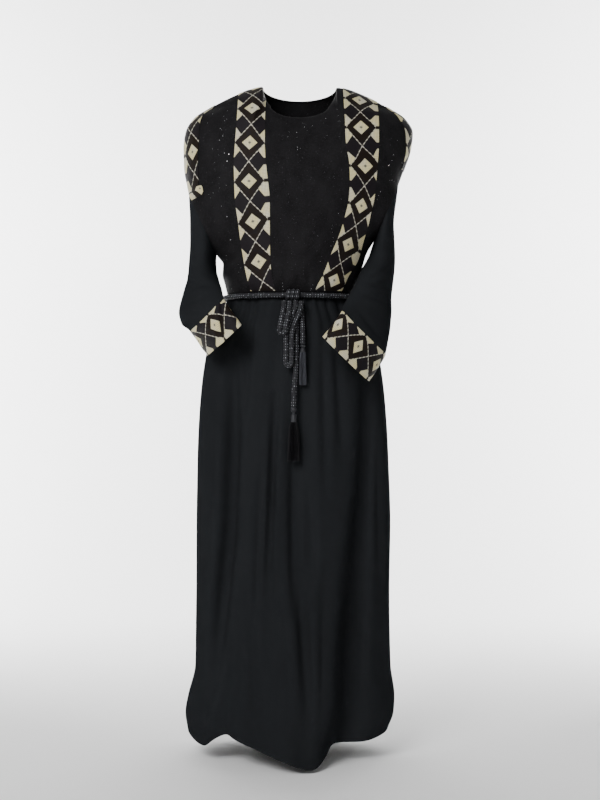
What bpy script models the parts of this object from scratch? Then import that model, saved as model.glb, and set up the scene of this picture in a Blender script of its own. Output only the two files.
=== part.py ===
"""A black kaftan with ribbon trim, hollow, in the pose in which it is worn.

Metres, +Z up. The front faces -Y, and the wearer's right is at -X. The origin is at
the height of the shoulder points of the neck, midway between them. Panels are grids
of points: a row runs across or round the garment, and the rows go down it. Seams
leave a gap of GAP between two panels, and trim lies GAP above its panel's own points.
"""

import math

import bmesh
import bpy
import numpy as np

# Cloth, ribbon and cord
WALL = 0.0015
RIBBON = 0.0012
GAP = 0.0003
CORD = 0.0105

# Heights
SHOULDER_TIP = -0.045
NECK_FRONT = -0.075
NECK_BACK = -0.018
WAIST = -0.435
BELT_DROP = 0.0042

# Neck, shoulders and armholes
NECK_SHARE = 0.40
NECK_DEPTH = 0.066
NECK_DEPTH_BACK = 0.050
SHOULDER_ROUND = 0.085
ARMHOLE_DEPTH = 0.063
ARMHOLE_GAP = 0.0005
ARMHOLE_STEPS = 8
FULLNESS = 2.4

# The ring at which a sleeve, a tube all round, is parted above the elbow
ELBOW_RING = 4

# Ranks of the bodice rows: 0 shoulder, 1 armhole top, 2 underarm, 3 waist
ROW_RANKS = [0, 0.12, 0.28, 0.46, 0.64, 0.82]
ROW_RANKS += [1 + step / ARMHOLE_STEPS for step in range(ARMHOLE_STEPS)]
ROW_RANKS += [2, 2.3, 2.62, 2.92, 3]

# Skirt
SKIRT_ROWS = 15
SKIRT_FULLNESS = 2.15


def table(names, *rows):
    """Rows of numbers under named columns."""
    return dict(zip(names.split(), np.array(rows, float).T))


# The side edges of the bodice seen from the front
EDGES = table(
    "z        right    left",
    (-0.435, -0.144, 0.122),
    (-0.410, -0.150, 0.128),
    (-0.390, -0.155, 0.132),
    (-0.368, -0.154, 0.138),
    (-0.348, -0.167, 0.144),
    (-0.3167, -0.181, 0.1615),
    (-0.270, -0.203, 0.182),
    (-0.223, -0.224, 0.203),
    (-0.204, -0.228, 0.2104),
    (-0.170, -0.234, 0.223),
    (-0.130, -0.235, 0.236),
    (-0.095, -0.231, 0.240),
    (-0.065, -0.214, 0.224),
    (-0.045, -0.186, 0.196),
)

# How far the bodice stands out in front and behind
DEPTHS = table(
    "z        front  back",
    (-0.435, 0.099, 0.087),
    (-0.428, 0.103, 0.091),
    (-0.412, 0.109, 0.096),
    (-0.380, 0.111, 0.097),
    (-0.320, 0.116, 0.101),
    (-0.250, 0.121, 0.108),
    (-0.180, 0.116, 0.110),
    (-0.120, 0.102, 0.102),
    (-0.060, 0.084, 0.080),
    (0.000, 0.070, 0.060),
)

# Height of each side's armhole
ARMHOLES = {"right": (-0.223, -0.348), "left": (-0.204, -0.3167)}

# How far from the middle the edges of the two inner ribbons run
INNER_RIBBONS = table(
    "z        right_out  right_in  left_in  left_out",
    (-0.435, -0.0915, -0.0425, 0.0330, 0.0875),
    (-0.400, -0.1010, -0.0505, 0.0510, 0.1040),
    (-0.360, -0.1085, -0.0535, 0.0670, 0.1260),
    (-0.320, -0.1145, -0.0541, 0.0840, 0.1372),
    (-0.289, -0.1183, -0.0541, 0.0943, 0.1465),
    (-0.245, -0.1243, -0.0545, 0.1040, 0.1560),
    (-0.210, -0.1258, -0.0580, 0.1062, 0.1600),
    (-0.172, -0.1266, -0.0623, 0.1050, 0.1632),
    (-0.135, -0.1250, -0.0645, 0.0990, 0.1657),
    (-0.075, -0.1215, -0.0650, 0.0965, 0.1666),
    (0.000, -0.1200, -0.0650, 0.0950, 0.1660),
)

# The outer ribbons start from the outer edge of the front; each is cut off by a seam
OUTER_RIBBONS = table(
    "rank  right  left",
    (0.00, 0.014, 0.010),
    (0.12, 0.030, 0.026),
    (0.28, 0.052, 0.040),
    (0.46, 0.066, 0.038),
    (0.64, 0.070, 0.030),
    (0.82, 0.070, 0.026),
    (1.00, 0.064, 0.026),
    (1.25, 0.038, 0.026),
    (1.375, 0.024, 0.026),
    (2.00, 0.034, 0.034),
    (3.00, 0.034, 0.034),
)
OUTER_MARGIN = 0.004
OUTER_END = {"right": 1.25, "left": 0.82}

# Columns between the ribbons' edges, from the wearer's right to the left
FRONT_COLUMNS = [1, 3, 3, 4, 7, 4, 3, 3, 1]
BACK_COLUMNS = 18

# The skirt without its folds
SKIRT = table(
    "z        right    left   front  back",
    (-1.380, -0.222, 0.184, 0.150, 0.150),
    (-1.337, -0.226, 0.187, 0.150, 0.150),
    (-1.296, -0.232, 0.201, 0.149, 0.151),
    (-1.265, -0.227, 0.203, 0.148, 0.150),
    (-1.200, -0.212, 0.195, 0.146, 0.148),
    (-1.060, -0.210, 0.192, 0.142, 0.146),
    (-0.900, -0.209, 0.194, 0.138, 0.144),
    (-0.775, -0.207, 0.190, 0.134, 0.142),
    (-0.650, -0.201, 0.183, 0.130, 0.138),
    (-0.560, -0.190, 0.171, 0.123, 0.128),
    (-0.500, -0.168, 0.152, 0.114, 0.114),
    (-0.460, -0.150, 0.131, 0.105, 0.096),
    (-0.435, -0.144, 0.122, 0.099, 0.087),
)

# Folds in the skirt: where each valley lies, in degrees from the front, and how deep
# it is, at the four heights of FOLD_HEIGHTS. The first six are on the front.
FOLD_HEIGHTS = (-0.435, -0.65, -1.0, -1.35)
FRONT_FOLDS = table(
    "at_waist at_hip at_knee at_hem deep_waist deep_hip deep_knee deep_hem width",
    (-39, -38, -43, -57, 0.003, 0.011, 0.018, 0.006, 8),
    (-29, -27, -31, -38, 0.003, 0.002, 0.004, 0.020, 7),
    (-9, -10, -14, -16, 0.003, 0.006, 0.007, 0.001, 5),
    (11, 3, 5, 9, 0.003, 0.006, 0.011, 0.006, 6),
    (25, 26, 22, 19, 0.003, 0.002, 0.000, 0.000, 5),
    (40, 53, 40, 31, 0.003, 0.016, 0.034, 0.048, 11),
)
BACK_FOLDS = table(
    "at_waist at_hip at_knee at_hem deep_waist deep_hip deep_knee deep_hem width",
    (128, 130, 132, 135, 0.003, 0.006, 0.016, 0.026, 9),
    (146, 148, 152, 156, 0.003, 0.004, 0.004, 0.006, 6),
    (163, 166, 172, 176, 0.003, 0.007, 0.014, 0.020, 8),
    (180, 184, 190, 194, 0.003, 0.004, 0.003, 0.004, 6),
    (198, 202, 208, 212, 0.003, 0.006, 0.016, 0.024, 8),
    (216, 220, 226, 232, 0.003, 0.006, 0.009, 0.012, 7),
)
FRONT_SKIRT_COLUMNS = [7, 3, 5, 4, 5, 4, 7]
BACK_SKIRT_COLUMNS = [5, 4, 4, 4, 4, 4, 5]

# Height of the hem round the skirt, and how far the front of it is pushed out
HEM = table(
    "angle z",
    (-90, -1.330),
    (-72, -1.338),
    (-57, -1.350),
    (-37, -1.322),
    (-20, -1.334),
    (-4, -1.352),
    (13, -1.374),
    (22, -1.357),
    (31, -1.342),
    (52, -1.336),
    (75, -1.331),
    (90, -1.330),
    (135, -1.350),
    (180, -1.356),
    (225, -1.350),
    (270, -1.330),
)
LOBE_ANGLE, LOBE_WIDTH, LOBE_REACH = 5, 24, 0.052

# The sleeves: outer and inner edge, and half of the thickness across them. The last
# two rows are the top and the bottom of the cuff.
SLEEVES = {
    "right": table(
        "out_x out_y out_z in_x in_y in_z half",
        (-0.2220, 0.004, -0.3060, -0.1680, 0.002, -0.3620, 0.060),
        (-0.2245, 0.002, -0.3600, -0.1660, -0.010, -0.3830, 0.056),
        (-0.2290, -0.010, -0.4020, -0.1610, -0.044, -0.4030, 0.051),
        (-0.2370, -0.030, -0.4380, -0.1540, -0.074, -0.4210, 0.046),
        (-0.2415, -0.050, -0.4690, -0.1500, -0.100, -0.4340, 0.040),
        (-0.2345, -0.068, -0.4950, -0.1470, -0.120, -0.4430, 0.034),
        (-0.2160, -0.082, -0.5100, -0.1460, -0.134, -0.4500, 0.029),
        (-0.1790, -0.108, -0.5600, -0.1100, -0.162, -0.5030, 0.025),
    ),
    "left": table(
        "out_x out_y out_z in_x in_y in_z half",
        (0.2020, 0.006, -0.2880, 0.1560, 0.004, -0.3330, 0.060),
        (0.2040, 0.004, -0.3450, 0.1460, -0.008, -0.3580, 0.056),
        (0.2020, -0.006, -0.3920, 0.1280, -0.046, -0.3920, 0.050),
        (0.1960, -0.030, -0.4370, 0.1100, -0.082, -0.4280, 0.044),
        (0.1925, -0.060, -0.4850, 0.0970, -0.112, -0.4530, 0.038),
        (0.1860, -0.088, -0.5250, 0.0915, -0.130, -0.4660, 0.033),
        (0.1775, -0.108, -0.5570, 0.0910, -0.143, -0.4740, 0.028),
        (0.1430, -0.136, -0.6120, 0.0510, -0.168, -0.5260, 0.024),
    ),
}
CUFF_RINGS = 3
CUFF_TILT = 0.15

# The knot of the belt, and the tassels on its two hanging ends
KNOT_X = -0.0085
KNOT_SIZE = (0.0195, 0.0112, 0.0120)
TASSELS = table(
    "x        top     head_r  head_h  strand   spread  thick   strands",
    (-0.0062, -0.6640, 0.0060, 0.0300, 0.0780, 0.0130, 0.0011, 20),
    (0.0118, -0.5400, 0.0055, 0.0150, 0.0660, 0.0075, 0.0009, 15),
)

BLACK_CREPE = (0.014, 0.014, 0.016)
BLACK_SEQUINNED = (0.010, 0.009, 0.011)
RIBBON_CREAM = (0.45, 0.40, 0.24)
BLACK_BRAID = (0.020, 0.020, 0.024)


def smooth(columns, name, at, key="z"):
    """A column's value between its rows, on a curve that never overshoots them."""
    order = np.argsort(columns[key])
    x, y = columns[key][order], columns[name][order]
    step, rise = np.diff(x), np.diff(y) / np.diff(x)
    slope = np.zeros_like(y)
    both = rise[:-1] * rise[1:] > 0
    before, after = step[:-1][both], step[1:][both]
    left, right = rise[:-1][both], rise[1:][both]
    slope[1:-1][both] = 3 * (before + after) / ((2 * after + before) / left + (after + 2 * before) / right)
    slope[0], slope[-1] = rise[0], rise[-1]
    at = np.clip(at, x[0], x[-1])
    i = np.clip(np.searchsorted(x, at) - 1, 0, len(x) - 2)
    t = (at - x[i]) / step[i]
    curve = (1 + 2 * t) * (1 - t) ** 2 * y[i] + t * t * (3 - 2 * t) * y[i + 1]
    return curve + step[i] * (t * (1 - t) ** 2 * slope[i] - t * t * (1 - t) * slope[i + 1])


def unit(vectors):
    return vectors / np.maximum(np.linalg.norm(vectors, axis=-1, keepdims=True), 1e-12)


def edge_height(rank, side):
    """The height of a bodice row at the garment's edge."""
    top, bottom = ARMHOLES[side]
    if rank <= 1:
        return SHOULDER_TIP + (top - SHOULDER_TIP) * rank
    if rank <= 2:
        return top + (bottom - top) * (1 - math.cos(math.pi * (rank - 1))) / 2
    return bottom + (WAIST - bottom) * (rank - 2)


def bodice_points(angles, rank):
    """Points of one bodice row at these angles, in degrees: 0 in front, 90 at the left."""
    angles = np.asarray(angles, float)
    sine = np.sin(np.radians(angles))
    front = np.cos(np.radians(angles)) > -1e-9
    open_share = math.sin(math.pi * (rank - 1)) if 1 < rank < 2 else 0.0
    across = sine + 0.8 * open_share * (np.degrees(np.arcsin(sine)) / 90 - sine)
    reach = np.abs(across)

    slope = np.clip((reach - NECK_SHARE) / (1 - NECK_SHARE), 0, 1)
    scoop = np.sqrt(np.clip(1 - (reach / NECK_SHARE) ** 2, 0, 1))
    top = SHOULDER_TIP * slope**1.4 + np.where(front, NECK_FRONT, NECK_BACK) * scoop

    edge = np.where(across < 0, edge_height(rank, "right"), edge_height(rank, "left"))
    share_edge = (SHOULDER_TIP - edge) / (SHOULDER_TIP - WAIST)
    share_middle = np.interp(rank, [0, 1, 2, 3], [0, 0.40, 0.76, 1])
    share = share_middle + (share_edge - share_middle) * reach**2
    z = top + (WAIST - top) * share

    right, left = smooth(EDGES, "right", z), smooth(EDGES, "left", z)
    x = (right + left) / 2 + (left - right) / 2 * across
    depth = np.where(front, smooth(DEPTHS, "front", z), smooth(DEPTHS, "back", z))
    at_edge = ARMHOLE_DEPTH * open_share
    profile = np.clip(1 - reach**FULLNESS, 0, 1) ** (0.5 + 0.45 * open_share)
    depth = at_edge + (depth - at_edge) * profile
    drop = np.clip((top - z) / SHOULDER_ROUND, 0, 1)
    rounded = np.sqrt(1 - (1 - drop) ** 2)
    at_neck = np.where(front, NECK_DEPTH, NECK_DEPTH_BACK) * scoop
    y = np.where(front, -1, 1) * (at_neck * (1 - rounded) + depth * rounded)
    return np.stack([x, y, z], axis=-1)


def along(points, distances):
    """Points of a polyline at these distances from its start."""
    run = np.concatenate([[0], np.cumsum(np.linalg.norm(np.diff(points, axis=0), axis=1))])
    return np.stack([np.interp(distances, run, points[:, i]) for i in range(3)], axis=-1)


def crossing(points, edge):
    """How far along a front row, which runs towards +X, it crosses an inner ribbon's edge."""
    run = np.concatenate([[0], np.cumsum(np.linalg.norm(np.diff(points, axis=0), axis=1))])
    beyond = points[:, 0] - smooth(INNER_RIBBONS, edge, points[:, 2])
    i = int(np.argmax(beyond >= 0))
    share = -beyond[i - 1] / (beyond[i] - beyond[i - 1])
    return run[i - 1] + (run[i] - run[i - 1]) * share


def length_of(points):
    return np.linalg.norm(np.diff(points, axis=0), axis=1).sum()


def spread(stops, counts):
    """Values from stop to stop, with this many steps between each two."""
    pieces = [np.linspace(a, b, n + 1)[:-1] for a, b, n in zip(stops, stops[1:], counts)]
    return np.concatenate(pieces + [[stops[-1]]])


def bodice_front():
    """The front's grid; its columns follow the edges of the four ribbons."""
    rows = []
    for rank in ROW_RANKS:
        line = bodice_points(np.linspace(-90, 90, 400), rank)
        long = length_of(line)
        outer = [smooth(OUTER_RIBBONS, side, rank, "rank") for side in ("right", "left")]
        stops = [0, OUTER_MARGIN, OUTER_MARGIN + outer[0]]
        stops += [crossing(line, edge) for edge in ("right_out", "right_in", "left_in", "left_out")]
        stops += [long - OUTER_MARGIN - outer[1], long - OUTER_MARGIN, long]
        rows.append(along(line, spread(stops, FRONT_COLUMNS)))
    return np.array(rows)


def bodice_back():
    """The back's grid, from the wearer's left round to the right."""
    rows = []
    for rank in ROW_RANKS:
        line = bodice_points(np.linspace(90.01, 269.99, 400), rank)
        if rank <= 1 or rank >= 2:
            line = bodice_points(np.linspace(90, 270, 400), rank)
        rows.append(along(line, np.linspace(0, length_of(line), BACK_COLUMNS + 1)))
    return np.array(rows)


def skirt_points(angles, share, folds):
    """Points of the skirt at these angles; share is 0 at the waist and 1 at the hem."""
    angles = np.asarray(angles, float)
    sine, cosine = np.sin(np.radians(angles)), np.cos(np.radians(angles))
    front = cosine > -1e-9
    z = WAIST + (smooth(HEM, "z", angles, "angle") - WAIST) * share
    right, left = smooth(SKIRT, "right", z), smooth(SKIRT, "left", z)
    middle, half = (right + left) / 2, (left - right) / 2
    depth = np.where(front, smooth(SKIRT, "front", z), smooth(SKIRT, "back", z))
    power = 2 / SKIRT_FULLNESS
    x = middle + half * np.sign(sine) * np.abs(sine) ** power
    y = -depth * np.sign(cosine) * np.abs(cosine) ** power
    outward = unit(np.stack([sine * depth, -cosine * half, np.zeros_like(sine)], axis=-1))
    height = float(np.mean(z))
    inward = np.zeros_like(angles)
    for i, width in enumerate(folds["width"]):
        beside = (angles - fold_angle(folds, i, height)) / width
        inward += fold_depth(folds, i, height) * np.exp(-(beside**2))
    sides = 1 - np.abs(sine) ** 12
    lobe = LOBE_REACH * share**5 * np.exp(-(((angles - LOBE_ANGLE) / LOBE_WIDTH) ** 2))
    points = np.stack([x, y - lobe, z], axis=-1)
    return points - outward * (inward * sides)[..., None]


def at_height(folds, kind, i, height):
    """A fold's angle or depth at a height, from its values at FOLD_HEIGHTS."""
    values = [folds[f"{kind}_{level}"][i] for level in ("waist", "hip", "knee", "hem")]
    rows = {"z": np.array(FOLD_HEIGHTS), "value": np.array(values)}
    return float(smooth(rows, "value", height))


def fold_angle(folds, i, height):
    return at_height(folds, "at", i, height)


def fold_depth(folds, i, height):
    return at_height(folds, "deep", i, height)


def skirt_half(first, last, folds, counts):
    """A half of the skirt; its columns follow the valleys of the folds."""
    rows = []
    for step in range(SKIRT_ROWS + 1):
        share = (step / SKIRT_ROWS) ** 1.15
        height = WAIST + (np.mean(HEM["z"]) - WAIST) * share
        stops = [first] + [fold_angle(folds, i, height) for i in range(len(folds["width"]))] + [last]
        rows.append(skirt_points(spread(stops, counts), share, folds))
    return np.array(rows)


def skirt_front_at(x, z):
    """How far the front of the skirt reaches at a place, its folds left out."""
    right, left = smooth(SKIRT, "right", z), smooth(SKIRT, "left", z)
    across = (x - (right + left) / 2) / ((left - right) / 2)
    return smooth(SKIRT, "front", z) * (1 - abs(across) ** SKIRT_FULLNESS) ** (1 / SKIRT_FULLNESS)


def sleeve_grid(side, first_ring):
    """A sleeve's rings, from the armhole to the end of the cuff."""
    rows = SLEEVES[side]
    outer = np.stack([rows["out_x"], rows["out_y"], rows["out_z"]], axis=-1)
    inner = np.stack([rows["in_x"], rows["in_y"], rows["in_z"]], axis=-1)
    outer = np.vstack([first_ring[0], outer])
    inner = np.vstack([first_ring[ARMHOLE_STEPS], inner])
    half = np.concatenate([[ARMHOLE_DEPTH], rows["half"]])
    sections = np.hstack([outer, inner, half[:, None]])
    cuff_top = len(sections) - 2
    places = np.concatenate([
        [0, 0.6, 1.25],
        np.arange(2, cuff_top),
        np.linspace(cuff_top, cuff_top + 1, CUFF_RINGS + 1),
    ])
    key = {"row": np.arange(len(sections), dtype=float)}
    values = np.stack(
        [smooth({**key, "v": sections[:, i]}, "v", places, "row") for i in range(7)], axis=-1
    )
    turn = np.arange(2 * ARMHOLE_STEPS) * math.pi / ARMHOLE_STEPS
    rings = [first_ring]
    for value in values[1:]:
        centre, wide = (value[:3] + value[3:6]) / 2, (value[:3] - value[3:6]) / 2
        forward = np.array([0, -value[6], -CUFF_TILT * value[6]])
        rings.append(centre + np.outer(np.cos(turn), wide) + np.outer(np.sin(turn), forward))
    return np.array(rings)


def normals_of(grid, ring=False):
    """The outward direction at each point of a grid."""
    down = np.gradient(grid, axis=0)
    if ring:
        across = np.roll(grid, -1, axis=1) - np.roll(grid, 1, axis=1)
    else:
        across = np.gradient(grid, axis=1)
    normals = unit(np.cross(down, across))
    if ring:
        centre = grid.mean(axis=1, keepdims=True)
        if (normals * (grid - centre)).sum() < 0:
            normals = -normals
    return normals


def material(name, colour, roughness, metallic=0.0):
    made = bpy.data.materials.new(name)
    made.use_nodes = True
    shader = made.node_tree.nodes["Principled BSDF"]
    shader.inputs["Base Color"].default_value = (*colour, 1)
    shader.inputs["Roughness"].default_value = roughness
    shader.inputs["Metallic"].default_value = metallic
    made.diffuse_color = (*colour, 1)
    return made


def mesh_object(name, points, faces, look):
    """A closed mesh as an object, its faces turned outward."""
    mesh = bpy.data.meshes.new(name)
    mesh.from_pydata([tuple(map(float, p)) for p in points], [], faces)
    shape = bmesh.new()
    shape.from_mesh(mesh)
    bmesh.ops.recalc_face_normals(shape, faces=shape.faces)
    shape.to_mesh(mesh)
    shape.free()
    mesh.shade_smooth()
    mesh.set_sharp_from_angle(angle=math.radians(50))
    mesh.materials.append(look)
    made = bpy.data.objects.new(name, mesh)
    bpy.context.scene.collection.objects.link(made)
    return made


def cuts_of(grid, ring=False):
    """Which way each square of a grid is cut in two: along its shorter diagonal."""
    last = grid[:, :1] if ring else grid[:, -1:]
    after = np.concatenate([grid[:, 1:], last], axis=1)
    first = np.linalg.norm(after[1:] - grid[:-1], axis=-1)
    second = np.linalg.norm(grid[1:] - after[:-1], axis=-1)
    return first <= second


def layer(name, grid, normals, below, above, look, cuts, ring=False):
    """A closed sheet between two distances from a grid, cut the same way on both faces."""
    rows, columns = grid.shape[:2]
    upper, lower = grid + normals * above, grid + normals * below
    points = np.concatenate([upper.reshape(-1, 3), lower.reshape(-1, 3)])
    under = rows * columns
    faces = []
    spans = columns if ring else columns - 1
    for i in range(rows - 1):
        for j in range(spans):
            k = (j + 1) % columns
            a, b = i * columns + j, i * columns + k
            d, c = a + columns, b + columns
            halves = [(a, b, c), (a, c, d)] if cuts[i, j] else [(a, b, d), (b, c, d)]
            for p, q, r in halves:
                faces += [(p, q, r), (under + p, under + r, under + q)]
    border = [[j for j in range(columns)] + ([0] if ring else [])]
    border += [[(rows - 1) * columns + j for j in border[0]]]
    if not ring:
        border += [[i * columns for i in range(rows)], [i * columns + columns - 1 for i in range(rows)]]
    for line in border:
        for a, b in zip(line, line[1:]):
            faces += [(a, b, under + b), (a, under + b, under + a)]
    return mesh_object(name, points, faces, look)


def square_to(normals, across_seam):
    """Edge normals turned into the plane of a seam."""
    return unit(normals - np.outer(normals @ across_seam, across_seam))


def build_bodice(crepe, cloth, ribbon):
    """Front and back, the four ribbons on the front, and the two sleeves with their cuffs."""
    front, back = bodice_front(), bodice_back()
    front_up, back_up = normals_of(front), normals_of(back)
    side, vertical = np.array([0, 1.0, 0]), np.array([0, 0, 1.0])

    top = np.array(ROW_RANKS)
    rings, ring_rows = {}, np.flatnonzero((top >= 1) & (top <= 2))
    columns = {"right": (0, -1), "left": (-1, 0)}
    for name, (fore, aft) in columns.items():
        ring = np.concatenate([front[ring_rows, fore], back[ring_rows[-2:0:-1], aft]])
        rings[name] = sleeve_grid(name, ring)

    # Each pair of panels that meets shares its edge normals, so that its walls stay parallel.
    closed = (top <= 1) | (top >= 2)
    for name, (fore, aft) in columns.items():
        shared = unit(front_up[:, fore] + back_up[:, aft])
        front_up[closed, fore] = back_up[closed, aft] = square_to(shared[closed], side)
    for grid, up in ((front, front_up), (back, back_up)):
        on_seam = np.abs(grid[0, :, 1]) < 1e-6
        up[0, on_seam] = square_to(up[0, on_seam], side)
        up[-1] = square_to(up[-1], vertical)

    sleeve_up = {name: normals_of(grid, ring=True) for name, grid in rings.items()}
    shifts = {"front": np.zeros_like(front), "back": np.zeros_like(back)}
    for name, (fore, aft) in columns.items():
        up = sleeve_up[name][0]
        edge = np.concatenate([front_up[ring_rows, fore], back_up[ring_rows[-2:0:-1], aft]])
        shared = unit(up + edge)
        shared[[0, len(ring_rows) - 1]] = square_to(shared[[0, len(ring_rows) - 1]], side)
        sleeve_up[name][0] = shared
        front_up[ring_rows, fore] = shared[: len(ring_rows)]
        back_up[ring_rows[1:-1], aft] = shared[len(ring_rows):][::-1]
        back_up[ring_rows[0], aft], back_up[ring_rows[-1], aft] = shared[0], shared[len(ring_rows) - 1]
        ring = rings[name][0]
        tangent = unit(np.roll(ring, -1, axis=0) - np.roll(ring, 1, axis=0))
        out = np.cross(shared, tangent)
        centre_run = rings[name][1].mean(axis=0) - ring.mean(axis=0)
        out = out * np.sign(out @ centre_run)[:, None]
        shifts["front"][ring_rows, fore] -= out[: len(ring_rows)] * ARMHOLE_GAP / 2
        shifts["back"][ring_rows[1:-1], aft] -= out[len(ring_rows):][::-1] * ARMHOLE_GAP / 2
        shifts["back"][ring_rows[[0, -1]], aft] -= out[[0, len(ring_rows) - 1]] * ARMHOLE_GAP / 2
        rings[name][0] = ring + out * ARMHOLE_GAP / 2

        shifts["front"][closed, fore] -= side * GAP / 2
        shifts["back"][closed, aft] += side * GAP / 2
    for name, grid, sign in (("front", front, -1), ("back", back, 1)):
        inner = np.abs(grid[0, :, 1]) < 1e-6
        inner[[0, -1]] = False
        shifts[name][0, inner] += side * sign * GAP / 2
        shifts[name][-1] += vertical * GAP / 2

    cuts = cuts_of(front)
    layer("bodice_front", front + shifts["front"], front_up, -WALL, 0, cloth, cuts)
    layer("bodice_back", back + shifts["back"], back_up, -WALL, 0, cloth, cuts_of(back))

    stops = np.concatenate([[0], np.cumsum(FRONT_COLUMNS)])
    last = len(ROW_RANKS) - 1
    ends = {side_name: ROW_RANKS.index(rank) + 1 for side_name, rank in OUTER_END.items()}
    strips = {
        "ribbon_outer_right": (stops[1], stops[2], ends["right"]),
        "ribbon_inner_right": (stops[3], stops[4], last),
        "ribbon_inner_left": (stops[5], stops[6], last),
        "ribbon_outer_left": (stops[7], stops[8], ends["left"]),
    }
    for name, (start, stop, row_end) in strips.items():
        part = slice(0, row_end), slice(start, stop + 1)
        squares = cuts[0 : row_end - 1, start:stop]
        layer(name, front[part], front_up[part], GAP, GAP + RIBBON, ribbon, squares)

    for name, grid in rings.items():
        up, cuts = sleeve_up[name], cuts_of(grid, ring=True)
        down = unit(grid[ELBOW_RING + 1].mean(axis=0) - grid[ELBOW_RING - 1].mean(axis=0))
        for part, rows, squares, end, sign in (
            ("upper", slice(0, ELBOW_RING + 1), slice(0, ELBOW_RING), -1, -1),
            ("lower", slice(ELBOW_RING, None), slice(ELBOW_RING, None), 0, 1),
        ):
            tube = grid[rows].copy()
            tube[end] += sign * down * ARMHOLE_GAP / 2
            layer(f"sleeve_{name}_{part}", tube, up[rows], -WALL, 0, crepe, cuts[squares], ring=True)
        cuff = slice(len(grid) - 1 - CUFF_RINGS, None)
        layer(f"cuff_{name}", grid[cuff], up[cuff], GAP, GAP + RIBBON, ribbon, cuts[cuff], ring=True)


def build_skirt(crepe):
    """The front and the back of the skirt, gathered at the waist."""
    halves = {
        "skirt_front": (skirt_half(-90, 90, FRONT_FOLDS, FRONT_SKIRT_COLUMNS), -1),
        "skirt_back": (skirt_half(90, 270, BACK_FOLDS, BACK_SKIRT_COLUMNS), 1),
    }
    side, vertical = np.array([0, 1.0, 0]), np.array([0, 0, 1.0])
    for name, (grid, sign) in halves.items():
        up = normals_of(grid)
        for column in (0, -1):
            up[:, column] = square_to(up[:, column], side)
            grid[:, column, 1] = sign * GAP / 2
        up[0] = square_to(up[0], vertical)
        up[0, [0, -1]] = square_to(up[0, [0, -1]], side)
        grid[0, :, 2] -= GAP / 2
        layer(name, grid, up, -WALL, 0, crepe, cuts_of(grid))


def cord(name, points, look, diameter=CORD):
    """A cord along these points, with flat ends."""
    curve = bpy.data.curves.new(name, "CURVE")
    curve.dimensions = "3D"
    curve.bevel_depth = diameter / 2
    curve.bevel_resolution = 2
    curve.use_fill_caps = True
    curve.materials.append(look)
    spline = curve.splines.new("POLY")
    spline.points.add(len(points) - 1)
    for point, place in zip(spline.points, points):
        point.co = (*map(float, place), 1)
    spline.use_smooth = True
    made = bpy.data.objects.new(name, curve)
    bpy.context.scene.collection.objects.link(made)
    return made


def belt_route():
    """The belt's middle line, from one side of the knot round the back to the other."""
    height = WAIST - BELT_DROP
    out = CORD / 2 + 0.0008
    angles = np.linspace(0, 360, 721)
    points = skirt_points(angles - 90, (height - WAIST) / (np.mean(HEM["z"]) - WAIST), NO_FOLDS)
    points[:, 2] = height
    tangent = unit(np.roll(points, -1, axis=0) - np.roll(points, 1, axis=0))
    outward = np.stack([tangent[:, 1], -tangent[:, 0], np.zeros(len(points))], axis=-1)
    points = (points + outward * out)[:-1]
    start = int(np.argmin(np.hypot(points[:, 0] - KNOT_X, points[:, 1] + 0.1)))
    loop = np.roll(points, -start, axis=0)
    loop = np.vstack([loop, loop[:1]])
    clear = KNOT_SIZE[0] + 3 * GAP
    return along(loop, np.linspace(clear, length_of(loop) - clear, 53))


NO_FOLDS = {name: values[:0] for name, values in FRONT_FOLDS.items()}


def hang(x_top, x_low, z_low, layers, steps):
    """A cord's way from under the knot down the skirt, this many cords out from it."""
    top = WAIST - BELT_DROP - KNOT_SIZE[2] - 0.0012
    heights = np.linspace(top, z_low, steps)
    share = np.clip((top - 0.004 - heights) / 0.065, 0, 1)
    x = x_top + (x_low - x_top) * share * share * (3 - 2 * share)
    over = min(layers, 1) + max(layers - 1, 0) * np.minimum(2.4 * share, 1)
    out = CORD / 2 + 0.0009 + over * (CORD + 0.0005)
    y = [-(skirt_front_at(a, b) + c) for a, b, c in zip(x, heights, out)]
    return np.stack([x, y, heights], axis=-1)


def loop_route(x_top, x_low, z_low, layers):
    """Down, round a bend and up again, as one loop of the bow hangs."""
    down = hang(x_top[0], x_low[0], z_low, layers, 9)
    up = hang(x_top[1], x_low[1], z_low, layers, 9)[::-1]
    middle, radius = (down[-1] + up[0]) / 2, abs(up[0, 0] - down[-1, 0]) / 2
    turn = np.linspace(math.pi, 2 * math.pi, 9)[1:-1]
    bend = middle + np.stack([radius * np.cos(turn), 0 * turn, radius * np.sin(turn)], axis=-1)
    return np.vstack([down, bend, up])


def knot(look):
    """The knot as a rounded block, flattened where the belt runs into it."""
    wide, deep, high = KNOT_SIZE
    steps, sides = 8, 16
    front = belt_route()
    y = (front[0, 1] + front[-1, 1]) / 2 - 0.0062
    rows = []
    for across in np.cos(np.linspace(math.pi, 0, steps + 1)):
        turn = np.arange(sides) * 2 * math.pi / sides
        size = (1 - abs(across) ** 3) ** (1 / 3) * 0.62 + 0.38
        rows.append(np.stack([
            np.full(sides, KNOT_X + across * wide),
            y + deep * size * np.cos(turn),
            WAIST - BELT_DROP + high * size * np.sin(turn),
        ], axis=-1))
    points = np.concatenate(rows)
    faces = []
    for i in range(steps):
        for j in range(sides):
            a, b = i * sides + j, i * sides + (j + 1) % sides
            faces.append((a, b, b + sides, a + sides))
    faces += [tuple(range(sides)), tuple(range(steps * sides, (steps + 1) * sides))]
    return mesh_object("knot", points, faces, look)


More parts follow.
